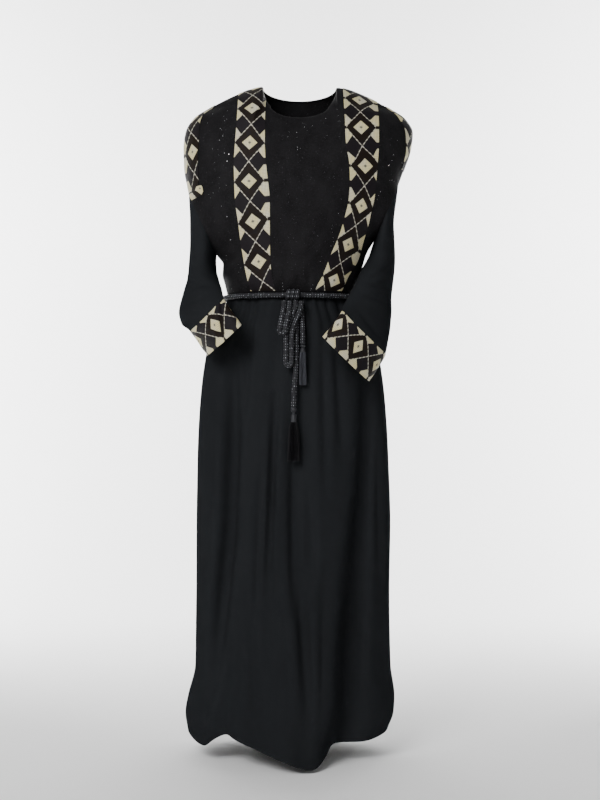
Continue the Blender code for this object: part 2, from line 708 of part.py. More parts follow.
def turned(name, profile, centre, look, sides=12):
    """A solid turned about a vertical axis; the profile is of distance out and height."""
    points, faces = [], []
    for radius, height in profile:
        for j in range(sides):
            turn = 2 * math.pi * j / sides
            out = radius * math.cos(turn), radius * math.sin(turn)
            points.append((centre[0] + out[0], centre[1] + out[1], height))
    for i in range(len(profile) - 1):
        for j in range(sides):
            a, b = i * sides + j, i * sides + (j + 1) % sides
            faces.append((a, b, b + sides, a + sides))
    faces += [tuple(range(sides)), tuple(range((len(profile) - 1) * sides, len(profile) * sides))]
    return mesh_object(name, points, faces, look)


# A tassel's head from the top: how far out it is, and how far down, as shares
TASSEL_HEAD = [
    (0.50, 0), (0.95, 0.06), (1.0, 0.18), (0.90, 0.27),
    (0.52, 0.34), (0.52, 0.44), (0.86, 0.52), (1.0, 1),
]


def tassel(name, row, look):
    """A head with hanging strands whose roots are fused in it."""
    x, top, radius, head = (TASSELS[key][row] for key in ("x", "top", "head_r", "head_h"))
    y = -(skirt_front_at(x, top) + CORD / 2 + 0.0009)
    low = top - head
    tips = skirt_front_at(x, low - TASSELS["strand"][row]) + 0.5 * TASSELS["spread"][row] + 0.002
    y = min(y, -tips)
    profile = [(radius * out, top - head * down) for out, down in TASSEL_HEAD]
    head_shape = turned(name, profile, (x, y), look)
    points, faces = [], []
    count = int(TASSELS["strands"][row])
    for k in range(count):
        ring = 0 if k == 0 else (1 if k < 7 else 2)
        among = k - (0, 1, 7)[ring]
        total = (1, 6, count - 7)[ring]
        turn = 2 * math.pi * (among + 0.5 * ring) / total
        root, tip = radius * (0, 0.42, 0.80)[ring], TASSELS["spread"][row] * (0, 0.45, 0.9)[ring]
        end = low - TASSELS["strand"][row] * (1 - 0.05 * ((k * 7) % 5) / 4)
        for share_down in (-0.03, 0.3, 0.65, 1):
            out = root + (tip - root) * max(share_down, 0) ** 0.4
            flat = 1 - 0.45 * max(share_down, 0)
            thick = TASSELS["thick"][row] * (0.75 if share_down < 0 else 1)
            height = low + (end - low) * share_down
            for corner in range(3):
                angle = turn + 2 * math.pi * corner / 3
                px = x + out * math.cos(turn) + thick * math.cos(angle)
                py = y + flat * out * math.sin(turn) + thick * math.sin(angle)
                points.append((px, py, height))
        first = len(points) - 12
        for level in range(3):
            for corner in range(3):
                a, b = first + 3 * level + corner, first + 3 * level + (corner + 1) % 3
                faces.append((a, b, b + 3, a + 3))
        faces += [(first, first + 1, first + 2), (first + 9, first + 10, first + 11)]
    strands = mesh_object(f"{name}_strands", points, faces, look)
    strands.hide_render = True
    strands.display_type = "WIRE"
    union = head_shape.modifiers.new("strands", "BOOLEAN")
    union.operation = "UNION"
    union.object = strands
    return head_shape, y


def build_belt(braid, black):
    """The belt cord, its knot, two bow loops and two ends with tassels."""
    cord("belt_cord", belt_route(), braid)
    knot(braid)
    near, far = CORD / 2 + 2 * GAP, CORD * 3 / 2 + 4 * GAP
    cord("loop_right", loop_route((KNOT_X - far, KNOT_X - near), (-0.0350, -0.0240), -0.5120, 2), braid)
    cord("loop_left", loop_route((KNOT_X + near, KNOT_X + far), (-0.0216, -0.0105), -0.5760, 1), braid)
    tails = (("long", KNOT_X + 0.0060, -0.0005, 22), ("short", KNOT_X + 0.0175, 0.0118, 12))
    for row, (name, x_top, x_low, steps) in enumerate(tails):
        made, y = tassel(f"tassel_{name}", row, black)
        x, top = TASSELS["x"][row], TASSELS["top"][row]
        route = hang(x_top, x_low, top + 0.0006, 0, steps)
        reach = np.clip((np.linspace(0, 1, len(route)) - 0.45) / 0.55, 0, 1)
        route[:, :2] += np.outer(reach * reach * (3 - 2 * reach), (x - route[-1, 0], y - route[-1, 1]))
        cord(f"tail_{name}", route, braid)


def main():
    for old in list(bpy.data.objects):
        bpy.data.objects.remove(old, do_unlink=True)
    crepe = material("black crepe", BLACK_CREPE, 0.85)
    cloth = material("sequinned black cloth", BLACK_SEQUINNED, 0.6)
    ribbon = material("woven ribbon", RIBBON_CREAM, 0.5, 0.3)
    braid = material("black braid", BLACK_BRAID, 0.55)
    build_bodice(crepe, cloth, ribbon)
    build_skirt(crepe)
    build_belt(braid, crepe)


main()
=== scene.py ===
"""A black kaftan: sequinned bodice, woven ribbon, crepe sleeves and skirt, braided belt.

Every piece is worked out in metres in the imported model's frame: +Z up, the front facing
-Y, the wearer's right at -X. Panels are grids of points whose rows run across or round
the garment. The file is laid out as an add-on, with an operator for each kind of piece.
"""

import math

import bpy
import numpy as np
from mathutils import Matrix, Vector


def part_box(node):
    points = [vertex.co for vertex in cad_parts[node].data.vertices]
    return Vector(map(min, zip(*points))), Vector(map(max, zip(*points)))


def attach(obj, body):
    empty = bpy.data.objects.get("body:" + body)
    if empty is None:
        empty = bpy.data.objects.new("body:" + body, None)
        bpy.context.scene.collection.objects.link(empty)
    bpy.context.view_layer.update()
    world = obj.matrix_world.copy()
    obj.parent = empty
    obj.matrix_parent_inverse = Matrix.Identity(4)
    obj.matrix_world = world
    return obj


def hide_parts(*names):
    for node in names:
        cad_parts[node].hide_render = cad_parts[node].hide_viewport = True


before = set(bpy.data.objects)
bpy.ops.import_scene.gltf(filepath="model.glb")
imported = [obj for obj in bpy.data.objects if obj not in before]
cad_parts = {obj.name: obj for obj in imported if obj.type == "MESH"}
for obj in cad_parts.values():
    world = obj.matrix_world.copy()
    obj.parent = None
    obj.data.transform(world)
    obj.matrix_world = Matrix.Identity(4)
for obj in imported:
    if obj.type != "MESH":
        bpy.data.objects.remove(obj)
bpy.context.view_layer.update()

bl_info = {
    "name": "Kaftan",
    "version": (1, 0, 0),
    "blender": (4, 5, 0),
    "location": "View3D > Sidebar > Kaftan",
    "description": "Dresses a kaftan in crepe, sequinned cloth, woven ribbon and braid",
    "category": "Object",
}

# The model's own sizes
CORD = 0.0105
SHOULDER_TIP = -0.045
NECK_FRONT = -0.075
NECK_BACK = -0.018
WAIST = -0.435
BELT_DROP = 0.0042
NECK_SHARE = 0.40
NECK_DEPTH = 0.066
NECK_DEPTH_BACK = 0.050
SHOULDER_ROUND = 0.085
ARMHOLE_DEPTH = 0.063
FULLNESS = 2.4
SKIRT_FULLNESS = 2.15
CUFF_TILT = 0.15
KNOT_X = -0.0085
KNOT_SIZE = (0.0195, 0.0112, 0.0120)
GAP = 0.0003
TINY = 1e-9
# At the armhole the bodice's points spread out, and its side is squarer
ARMHOLE_SPREAD, ARMHOLE_SQUARE = 0.8, 0.45
# How far down a sleeve, in rows of its table, the armhole's own outline settles
ARMHOLE_SETTLE = 0.6

# How finely the looks follow the model
RANK_STEPS = 5
ARMHOLE_STEPS = 40
COLUMN_STEPS = 4
SKIRT_ROWS = 190
SKIRT_COLUMNS = 221
SLEEVE_ROWS = 96
CUFF_ROWS = 28
LINE_POINTS = 600


def table(names, *rows):
    """Rows of numbers under named columns."""
    return dict(zip(names.split(), np.array(rows, float).T))


# The side edges of the bodice seen from the front
EDGES = table(
    "z        right    left",
    (-0.435, -0.144, 0.122),
    (-0.410, -0.150, 0.128),
    (-0.390, -0.155, 0.132),
    (-0.368, -0.154, 0.138),
    (-0.348, -0.167, 0.144),
    (-0.3167, -0.181, 0.1615),
    (-0.270, -0.203, 0.182),
    (-0.223, -0.224, 0.203),
    (-0.204, -0.228, 0.2104),
    (-0.170, -0.234, 0.223),
    (-0.130, -0.235, 0.236),
    (-0.095, -0.231, 0.240),
    (-0.065, -0.214, 0.224),
    (-0.045, -0.186, 0.196),
)

# How far the bodice stands out in front and behind
DEPTHS = table(
    "z        front  back",
    (-0.435, 0.099, 0.087),
    (-0.428, 0.103, 0.091),
    (-0.412, 0.109, 0.096),
    (-0.380, 0.111, 0.097),
    (-0.320, 0.116, 0.101),
    (-0.250, 0.121, 0.108),
    (-0.180, 0.116, 0.110),
    (-0.120, 0.102, 0.102),
    (-0.060, 0.084, 0.080),
    (0.000, 0.070, 0.060),
)
ARMHOLES = {"right": (-0.223, -0.348), "left": (-0.204, -0.3167)}

# Ribbons: the edges of each inner one, and how wide each outer one lies to its seam
INNER_RIBBONS = table(
    "z        right_out  right_in  left_in  left_out",
    (-0.435, -0.0915, -0.0425, 0.0330, 0.0875),
    (-0.400, -0.1010, -0.0505, 0.0510, 0.1040),
    (-0.360, -0.1085, -0.0535, 0.0670, 0.1260),
    (-0.320, -0.1145, -0.0541, 0.0840, 0.1372),
    (-0.289, -0.1183, -0.0541, 0.0943, 0.1465),
    (-0.245, -0.1243, -0.0545, 0.1040, 0.1560),
    (-0.210, -0.1258, -0.0580, 0.1062, 0.1600),
    (-0.172, -0.1266, -0.0623, 0.1050, 0.1632),
    (-0.135, -0.1250, -0.0645, 0.0990, 0.1657),
    (-0.075, -0.1215, -0.0650, 0.0965, 0.1666),
    (0.000, -0.1200, -0.0650, 0.0950, 0.1660),
)
OUTER_RIBBONS = table(
    "rank  right  left",
    (0.00, 0.014, 0.010),
    (0.12, 0.030, 0.026),
    (0.28, 0.052, 0.040),
    (0.46, 0.066, 0.038),
    (0.64, 0.070, 0.030),
    (0.82, 0.070, 0.026),
    (1.00, 0.064, 0.026),
    (1.25, 0.038, 0.026),
    (1.375, 0.024, 0.026),
    (2.00, 0.034, 0.034),
    (3.00, 0.034, 0.034),
)
OUTER_MARGIN = 0.004
OUTER_END = {"right": 1.25, "left": 0.82}
FRONT_COLUMNS = [2, 3, 3, 5, 8, 5, 3, 3, 2]
BACK_COLUMNS = 26
# Each ribbon's place and side, and the front's column stop where it starts
RIBBON_STRIPS = (("outer", "right", 1), ("inner", "right", 3), ("inner", "left", 5), ("outer", "left", 7))

# The skirt without its folds
SKIRT = table(
    "z        right    left   front  back",
    (-1.380, -0.222, 0.184, 0.150, 0.150),
    (-1.337, -0.226, 0.187, 0.150, 0.150),
    (-1.296, -0.232, 0.201, 0.149, 0.151),
    (-1.265, -0.227, 0.203, 0.148, 0.150),
    (-1.200, -0.212, 0.195, 0.146, 0.148),
    (-1.060, -0.210, 0.192, 0.142, 0.146),
    (-0.900, -0.209, 0.194, 0.138, 0.144),
    (-0.775, -0.207, 0.190, 0.134, 0.142),
    (-0.650, -0.201, 0.183, 0.130, 0.138),
    (-0.560, -0.190, 0.171, 0.123, 0.128),
    (-0.500, -0.168, 0.152, 0.114, 0.114),
    (-0.460, -0.150, 0.131, 0.105, 0.096),
    (-0.435, -0.144, 0.122, 0.099, 0.087),
)
FOLD_HEIGHTS = (-0.435, -0.65, -1.0, -1.35)
FRONT_FOLDS = table(
    "at_waist at_hip at_knee at_hem deep_waist deep_hip deep_knee deep_hem width",
    (-39, -38, -43, -57, 0.003, 0.011, 0.018, 0.006, 8),
    (-29, -27, -31, -38, 0.003, 0.002, 0.004, 0.020, 7),
    (-9, -10, -14, -16, 0.003, 0.006, 0.007, 0.001, 5),
    (11, 3, 5, 9, 0.003, 0.006, 0.011, 0.006, 6),
    (25, 26, 22, 19, 0.003, 0.002, 0.000, 0.000, 5),
    (40, 53, 40, 31, 0.003, 0.016, 0.034, 0.048, 11),
)
BACK_FOLDS = table(
    "at_waist at_hip at_knee at_hem deep_waist deep_hip deep_knee deep_hem width",
    (128, 130, 132, 135, 0.003, 0.006, 0.016, 0.026, 9),
    (146, 148, 152, 156, 0.003, 0.004, 0.004, 0.006, 6),
    (163, 166, 172, 176, 0.003, 0.007, 0.014, 0.020, 8),
    (180, 184, 190, 194, 0.003, 0.004, 0.003, 0.004, 6),
    (198, 202, 208, 212, 0.003, 0.006, 0.016, 0.024, 8),
    (216, 220, 226, 232, 0.003, 0.006, 0.009, 0.012, 7),
)
HEM = table(
    "angle z",
    (-90, -1.330),
    (-72, -1.338),
    (-57, -1.350),
    (-37, -1.322),
    (-20, -1.334),
    (-4, -1.352),
    (13, -1.374),
    (22, -1.357),
    (31, -1.342),
    (52, -1.336),
    (75, -1.331),
    (90, -1.330),
    (135, -1.350),
    (180, -1.356),
    (225, -1.350),
    (270, -1.330),
)
# The hem's forward lobe, and how the folds fade beside the side seams
LOBE_ANGLE, LOBE_WIDTH, LOBE_REACH, LOBE_RISE = 5, 24, 0.052, 5
SEAM_FADE = 12
# Rows of the skirt lie closer together toward the waist
SKIRT_EASE = 1.15

# The sleeves: outer and inner edge, and half of the thickness across them; the last two
# rows are the top and the bottom of the cuff
SLEEVES = {
    "right": table(
        "out_x out_y out_z in_x in_y in_z half",
        (-0.2220, 0.004, -0.3060, -0.1680, 0.002, -0.3620, 0.060),
        (-0.2245, 0.002, -0.3600, -0.1660, -0.010, -0.3830, 0.056),
        (-0.2290, -0.010, -0.4020, -0.1610, -0.044, -0.4030, 0.051),
        (-0.2370, -0.030, -0.4380, -0.1540, -0.074, -0.4210, 0.046),
        (-0.2415, -0.050, -0.4690, -0.1500, -0.100, -0.4340, 0.040),
        (-0.2345, -0.068, -0.4950, -0.1470, -0.120, -0.4430, 0.034),
        (-0.2160, -0.082, -0.5100, -0.1460, -0.134, -0.4500, 0.029),
        (-0.1790, -0.108, -0.5600, -0.1100, -0.162, -0.5030, 0.025),
    ),
    "left": table(
        "out_x out_y out_z in_x in_y in_z half",
        (0.2020, 0.006, -0.2880, 0.1560, 0.004, -0.3330, 0.060),
        (0.2040, 0.004, -0.3450, 0.1460, -0.008, -0.3580, 0.056),
        (0.2020, -0.006, -0.3920, 0.1280, -0.046, -0.3920, 0.050),
        (0.1960, -0.030, -0.4370, 0.1100, -0.082, -0.4280, 0.044),
        (0.1925, -0.060, -0.4850, 0.0970, -0.112, -0.4530, 0.038),
        (0.1860, -0.088, -0.5250, 0.0915, -0.130, -0.4660, 0.033),
        (0.1775, -0.108, -0.5570, 0.0910, -0.143, -0.4740, 0.028),
        (0.1430, -0.136, -0.6120, 0.0510, -0.168, -0.5260, 0.024),
    ),
}

# The two hanging ends: their tassels' places, as in the model
TASSELS = table(
    "x        top     head_r  head_h  strand   spread",
    (-0.0062, -0.6640, 0.0060, 0.0300, 0.0780, 0.0130),
    (0.0118, -0.5400, 0.0055, 0.0150, 0.0660, 0.0075),
)


def smooth(columns, name, at, key="z"):
    """A column's value between its rows, on a curve that never overshoots them."""
    order = np.argsort(columns[key])
    x, y = columns[key][order], columns[name][order]
    step, rise = np.diff(x), np.diff(y) / np.diff(x)
    slope = np.zeros_like(y)
    both = rise[:-1] * rise[1:] > 0
    before, after = step[:-1][both], step[1:][both]
    left, right = rise[:-1][both], rise[1:][both]
    weighed = (2 * after + before) / left + (after + 2 * before) / right
    slope[1:-1][both] = 3 * (before + after) / weighed
    slope[0], slope[-1] = rise[0], rise[-1]
    at = np.clip(at, x[0], x[-1])
    i = np.clip(np.searchsorted(x, at) - 1, 0, len(x) - 2)
    t = (at - x[i]) / step[i]
    curve = (1 + 2 * t) * (1 - t) ** 2 * y[i] + t * t * (3 - 2 * t) * y[i + 1]
    return curve + step[i] * (t * (1 - t) ** 2 * slope[i] - t * t * (1 - t) * slope[i + 1])


def unit(vectors):
    return vectors / np.maximum(np.linalg.norm(vectors, axis=-1, keepdims=True), 1e-12)


def spread(stops, counts):
    """Values from stop to stop, with this many steps between each two."""
    pieces = [np.linspace(a, b, n + 1)[:-1] for a, b, n in zip(stops, stops[1:], counts)]
    return np.concatenate(pieces + [[stops[-1]]])


def finer(values, steps):
    """The values with this many steps between each two."""
    return spread(values, [steps] * (len(values) - 1))


def run_of(points):
    """How far along a polyline each of its points lies."""
    return np.concatenate([[0], np.cumsum(np.linalg.norm(np.diff(points, axis=0), axis=1))])


def along(points, distances):
    """Points of a polyline at these distances from its start."""
    run = run_of(points)
    return np.stack([np.interp(distances, run, points[:, i]) for i in range(3)], axis=-1)


def crossing(points, edge):
    """How far along a front row, which runs towards +X, it crosses an inner ribbon's edge."""
    run = run_of(points)
    beyond = points[:, 0] - smooth(INNER_RIBBONS, edge, points[:, 2])
    i = int(np.argmax(beyond >= 0))
    share = -beyond[i - 1] / (beyond[i] - beyond[i - 1])
    return run[i - 1] + (run[i] - run[i - 1]) * share


def edge_height(rank, side):
    """The height of a bodice row at the garment's edge."""
    top, bottom = ARMHOLES[side]
    if rank <= 1:
        return SHOULDER_TIP + (top - SHOULDER_TIP) * rank
    if rank <= 2:
        return top + (bottom - top) * (1 - math.cos(math.pi * (rank - 1))) / 2
    return bottom + (WAIST - bottom) * (rank - 2)


def bodice_points(angles, rank):
    """Points of one bodice row at these angles, in degrees: 0 in front, 90 at the left."""
    angles = np.asarray(angles, float)
    sine = np.sin(np.radians(angles))
    front = np.cos(np.radians(angles)) > -TINY
    open_share = math.sin(math.pi * (rank - 1)) if 1 < rank < 2 else 0.0
    across = sine + ARMHOLE_SPREAD * open_share * (np.degrees(np.arcsin(sine)) / 90 - sine)
    reach = np.abs(across)

    slope = np.clip((reach - NECK_SHARE) / (1 - NECK_SHARE), 0, 1)
    scoop = np.sqrt(np.clip(1 - (reach / NECK_SHARE) ** 2, 0, 1))
    top = SHOULDER_TIP * slope**1.4 + np.where(front, NECK_FRONT, NECK_BACK) * scoop

    edge = np.where(across < 0, edge_height(rank, "right"), edge_height(rank, "left"))
    share_edge = (SHOULDER_TIP - edge) / (SHOULDER_TIP - WAIST)
    share_middle = np.interp(rank, [0, 1, 2, 3], [0, 0.40, 0.76, 1])
    share = share_middle + (share_edge - share_middle) * reach**2
    z = top + (WAIST - top) * share

    right, left = smooth(EDGES, "right", z), smooth(EDGES, "left", z)
    x = (right + left) / 2 + (left - right) / 2 * across
    depth = np.where(front, smooth(DEPTHS, "front", z), smooth(DEPTHS, "back", z))
    at_edge = ARMHOLE_DEPTH * open_share
    profile = np.clip(1 - reach**FULLNESS, 0, 1) ** (0.5 + ARMHOLE_SQUARE * open_share)
    depth = at_edge + (depth - at_edge) * profile
    drop = np.clip((top - z) / SHOULDER_ROUND, 0, 1)
    rounded = np.sqrt(1 - (1 - drop) ** 2)
    at_neck = np.where(front, NECK_DEPTH, NECK_DEPTH_BACK) * scoop
    y = np.where(front, -1, 1) * (at_neck * (1 - rounded) + depth * rounded)
    return np.stack([x, y, z], axis=-1)


def bodice_ranks():
    """The ranks of the bodice's rows, closest together at the shoulder and the waist."""
    shoulder = finer([0, 0.03, 0.12, 0.28, 0.46, 0.64, 0.82, 1], RANK_STEPS)
    armhole = 1 + np.arange(1, ARMHOLE_STEPS + 1) / ARMHOLE_STEPS
    waist = finer([2, 2.3, 2.62, 2.92, 3], RANK_STEPS + 3)[1:]
    return np.concatenate([shoulder, armhole, waist])


def bodice_front(ranks):
    """The front's grid, whose columns follow the ribbons' edges."""
    rows = []
    for rank in ranks:
        line = bodice_points(np.linspace(-90, 90, LINE_POINTS), rank)
        long = run_of(line)[-1]
        outer = [smooth(OUTER_RIBBONS, side, rank, "rank") for side in ("right", "left")]
        stops = [0, OUTER_MARGIN, OUTER_MARGIN + outer[0]]
        stops += [crossing(line, edge) for edge in ("right_out", "right_in", "left_in", "left_out")]
        stops += [long - OUTER_MARGIN - outer[1], long - OUTER_MARGIN, long]
        rows.append(along(line, spread(stops, [n * COLUMN_STEPS for n in FRONT_COLUMNS])))
    return np.array(rows)


def bodice_back(ranks):
    """The back's grid, from the wearer's left round to the right."""
    rows = []
    for rank in ranks:
        reach = 0.01 if 1 < rank < 2 else 0
        line = bodice_points(np.linspace(90 + reach, 270 - reach, LINE_POINTS), rank)
        rows.append(along(line, np.linspace(0, run_of(line)[-1], BACK_COLUMNS * COLUMN_STEPS + 1)))
    return np.array(rows)


def fold_at(folds, kind, i, height):
    """A fold's angle or depth at a height, from its values at FOLD_HEIGHTS."""
    values = [folds[f"{kind}_{level}"][i] for level in ("waist", "hip", "knee", "hem")]
    return smooth({"z": np.array(FOLD_HEIGHTS), "value": np.array(values)}, "value", height)


def skirt_points(angles, share, folds):
    """Points of the skirt at these angles; share is 0 at the waist and 1 at the hem."""
    angles = np.asarray(angles, float)
    sine, cosine = np.sin(np.radians(angles)), np.cos(np.radians(angles))
    front = cosine > -TINY
    z = WAIST + (smooth(HEM, "z", angles, "angle") - WAIST) * share
    right, left = smooth(SKIRT, "right", z), smooth(SKIRT, "left", z)
    middle, half = (right + left) / 2, (left - right) / 2
    depth = np.where(front, smooth(SKIRT, "front", z), smooth(SKIRT, "back", z))
    power = 2 / SKIRT_FULLNESS
    x = middle + half * np.sign(sine) * np.abs(sine) ** power
    y = -depth * np.sign(cosine) * np.abs(cosine) ** power
    outward = unit(np.stack([sine * depth, -cosine * half, np.zeros_like(sine)], axis=-1))
    height = float(np.mean(z))
    inward = np.zeros_like(angles)
    for i, width in enumerate(folds["width"]):
        beside = (angles - fold_at(folds, "at", i, height)) / width
        inward += fold_at(folds, "deep", i, height) * np.exp(-(beside**2))
    sides = 1 - np.abs(sine) ** SEAM_FADE
    lobe = LOBE_REACH * share**LOBE_RISE * np.exp(-(((angles - LOBE_ANGLE) / LOBE_WIDTH) ** 2))
    points = np.stack([x, y - lobe, z], axis=-1)
    if len(folds["width"]):
        inward = inward + gathers(angles, share)
    return points - outward * (inward * sides)[..., None]


# Gathers under the waist seam: angle in degrees, how deep and how far down each is, and how wide
GATHERS = table(
    "angle  deep    down   width",
    (-62, 0.0030, 0.07, 2.4),
    (-50, 0.0038, 0.10, 2.4),
    (-40, 0.0046, 0.14, 2.2),
    (-31, 0.0046, 0.12, 2.0),
    (-20, 0.0030, 0.07, 2.0),
    (-5, 0.0046, 0.16, 2.2),
    (5, 0.0036, 0.10, 2.0),
    (13, 0.0042, 0.14, 2.0),
    (21, 0.0034, 0.09, 1.9),
    (30, 0.0044, 0.13, 2.2),
    (43, 0.0036, 0.10, 2.4),
    (57, 0.0030, 0.07, 2.4),
    (70, 0.0026, 0.05, 2.4),
)
# They start at a share of their depth, are deepest a little lower, widen as they run down, and
# stand this many degrees further round behind
GATHER_START, GATHER_GROWTH, GATHER_SPREAD, GATHER_BEHIND = 0.35, 0.02, 0.12, 4


def gathers(angles, share):
    """How far the cloth dips between the small gathers, in front and, mirrored, behind."""
    down = share * (WAIST - HEM["z"].mean())
    dip = np.zeros_like(angles)
    for angle, deep, reach, width in zip(*(GATHERS[key] for key in ("angle", "deep", "down", "width"))):
        fade = math.exp(-((down / reach) ** 2)) * min(1, GATHER_START + down / GATHER_GROWTH)
        wide = width * (1 + down / GATHER_SPREAD)
        for centre in (angle, 180 - angle + GATHER_BEHIND):
            dip = dip + deep * fade * np.exp(-(((angles - centre) / wide) ** 2))
    return dip


NO_FOLDS = {name: values[:0] for name, values in FRONT_FOLDS.items()}


def skirt_half(first, last, folds):
    """A half of the skirt, from its waist to its hem."""
    angles = np.linspace(first, last, SKIRT_COLUMNS)
    shares = (np.arange(SKIRT_ROWS + 1) / SKIRT_ROWS) ** SKIRT_EASE
    return np.array([skirt_points(angles, share, folds) for share in shares])


def skirt_front_at(x, z):
    """How far the front of the skirt reaches at a place, its folds left out."""
    right, left = smooth(SKIRT, "right", z), smooth(SKIRT, "left", z)
    across = (x - (right + left) / 2) / ((left - right) / 2)
    return smooth(SKIRT, "front", z) * (1 - abs(across) ** SKIRT_FULLNESS) ** (1 / SKIRT_FULLNESS)


def sleeve_grid(side, first_ring):
    """A sleeve's rings from the armhole to the end of the cuff, which starts at SLEEVE_ROWS."""
    rows = SLEEVES[side]
    half_ring = len(first_ring) // 2
    start = [*first_ring[0], *first_ring[half_ring], ARMHOLE_DEPTH]
    sections = np.vstack([start, np.stack(list(rows.values()), axis=-1)])
    cuff_top = len(sections) - 2
    places = np.concatenate([
        np.linspace(0, cuff_top, SLEEVE_ROWS + 1),
        np.linspace(cuff_top, cuff_top + 1, CUFF_ROWS + 1)[1:],
    ])
    key = {"row": np.arange(len(sections), dtype=float)}
    turn = np.arange(len(first_ring)) * math.pi / half_ring
    rings = []
    values = [smooth({**key, "v": column}, "v", places, "row") for column in sections.T]
    for value in np.stack(values, axis=-1):
        centre, wide = (value[:3] + value[3:6]) / 2, (value[:3] - value[3:6]) / 2
        forward = np.array([0, -value[6], -CUFF_TILT * value[6]])
        rings.append(centre + np.outer(np.cos(turn), wide) + np.outer(np.sin(turn), forward))
    rings = np.array(rings)
    settle = np.clip(1 - places / ARMHOLE_SETTLE, 0, 1)[:, None, None] ** 2
    return rings + (first_ring - rings[0]) * settle


def normals_of(grid, ring=False):
    """The outward direction at each point of a grid."""
    down = np.gradient(grid, axis=0)
    if ring:
        across = np.roll(grid, -1, axis=1) - np.roll(grid, 1, axis=1)
    else:
        across = np.gradient(grid, axis=1)
    normals = unit(np.cross(down, across))
    if ring:
        centre = grid.mean(axis=1, keepdims=True)
        if (normals * (grid - centre)).sum() < 0:
            normals = -normals
    return normals


def across_of(grid):
    """How far along its row each point of a grid lies."""
    return np.array([run_of(row) for row in grid])


def metres_of(grid, ring=False):
    """Each point's place on the flat cloth: across from the middle and down, in metres."""
    closed = np.concatenate([grid, grid[:, :1]], axis=1) if ring else grid
    centre = closed.shape[1] // 2
    u = across_of(closed)
    u = u - u[:, centre][:, None]
    v = np.repeat(-run_of(closed[:, centre])[:, None], u.shape[1], axis=1)
    return np.stack([u, v], axis=-1)


def cells(rows, columns, ring):
    """Each cell's four corners in a grid: their numbers, and their rows and columns unwrapped."""
    i, j = np.meshgrid(np.arange(rows - 1), np.arange(columns if ring else columns - 1), indexing="ij")
    i = np.stack([i.ravel() + down for down in (0, 0, 1, 1)], axis=-1)
    j = np.stack([j.ravel() + on for on in (0, 1, 1, 0)], axis=-1)
    return i * columns + j % columns, i, j


def tube_faces(levels, sides, first=0, down=False):
    """The faces of a stack of rings of points, which goes up or down, with one at each end."""
    faces = cells(levels, sides, ring=True)[0].tolist()
    faces += [list(range((levels - 1) * sides, levels * sides)), list(range(sides))[::-1]]
    return [[first + corner for corner in (face[::-1] if down else face)] for face in faces]


def shell(name, grid, normals, low, high, flat, look, ring=False):
    """A closed thin piece of cloth between two distances from a grid; its UV is its flat place."""
    rows, columns = grid.shape[:2]
    points = np.concatenate([(grid + normals * out).reshape(-1, 3) for out in (high, low)])
    under = rows * columns
    faces, i, j = cells(rows, columns, ring)
    across = grid[0, 1] - grid[0, 0]
    outward = np.dot(np.cross(grid[1, 0] - grid[0, 0], across), normals[0, 0]) > 0
    order = [0, 3, 2, 1] if outward else [0, 1, 2, 3]
    upper, upper_flat = faces[:, order], flat[i, j][:, order]
    all_faces = [upper, upper[:, ::-1] + under]
    uvs = [upper_flat, upper_flat[:, ::-1]]
    spans = np.arange(columns if ring else columns - 1)
    first, last = spans, (rows - 1) * columns + spans
    step = (spans + 1) % columns - spans
    rims = [(first, first + step), (last + step, last)]
    if not ring:
        side = np.arange(rows - 1) * columns
        rims += [(side + columns, side), (side + columns - 1, side + 2 * columns - 1)]
    plain = flat[:, :columns].reshape(-1, 2)
    for p, q in rims:
        if not outward:
            p, q = q, p
        rim = np.stack([p, q, q + under, p + under], axis=-1)
        all_faces.append(rim)
        uvs.append(plain[rim % under])
    return mesh_object(name, points, np.concatenate(all_faces), look, np.concatenate(uvs).reshape(-1, 2))


def mesh_object(name, points, faces, look, uvs=None):
    """A smooth mesh of quads, or of faces in a list, as an object of the scene."""
    mesh = bpy.data.meshes.new(name)
    if isinstance(faces, np.ndarray):
        sides = faces.shape[1]
        mesh.vertices.add(len(points))
        mesh.vertices.foreach_set("co", np.asarray(points, np.float32).ravel())
        mesh.loops.add(faces.size)
        mesh.loops.foreach_set("vertex_index", faces.astype(np.int32).ravel())
        mesh.polygons.add(len(faces))
        mesh.polygons.foreach_set("loop_start", np.arange(0, faces.size, sides, dtype=np.int32))
        mesh.update(calc_edges=True)
    else:
        mesh.from_pydata([tuple(map(float, p)) for p in points], [], faces)
    if uvs is not None:
        layer = mesh.uv_layers.new(name="flat")
        layer.data.foreach_set("uv", np.asarray(uvs, np.float32).ravel())
    mesh.validate()
    mesh.shade_smooth()
    mesh.set_sharp_from_angle(angle=math.radians(50))
    mesh.materials.append(look)
    made = bpy.data.objects.new(name, mesh)
    bpy.context.scene.collection.objects.link(made)
    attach(made, "root")
    return made


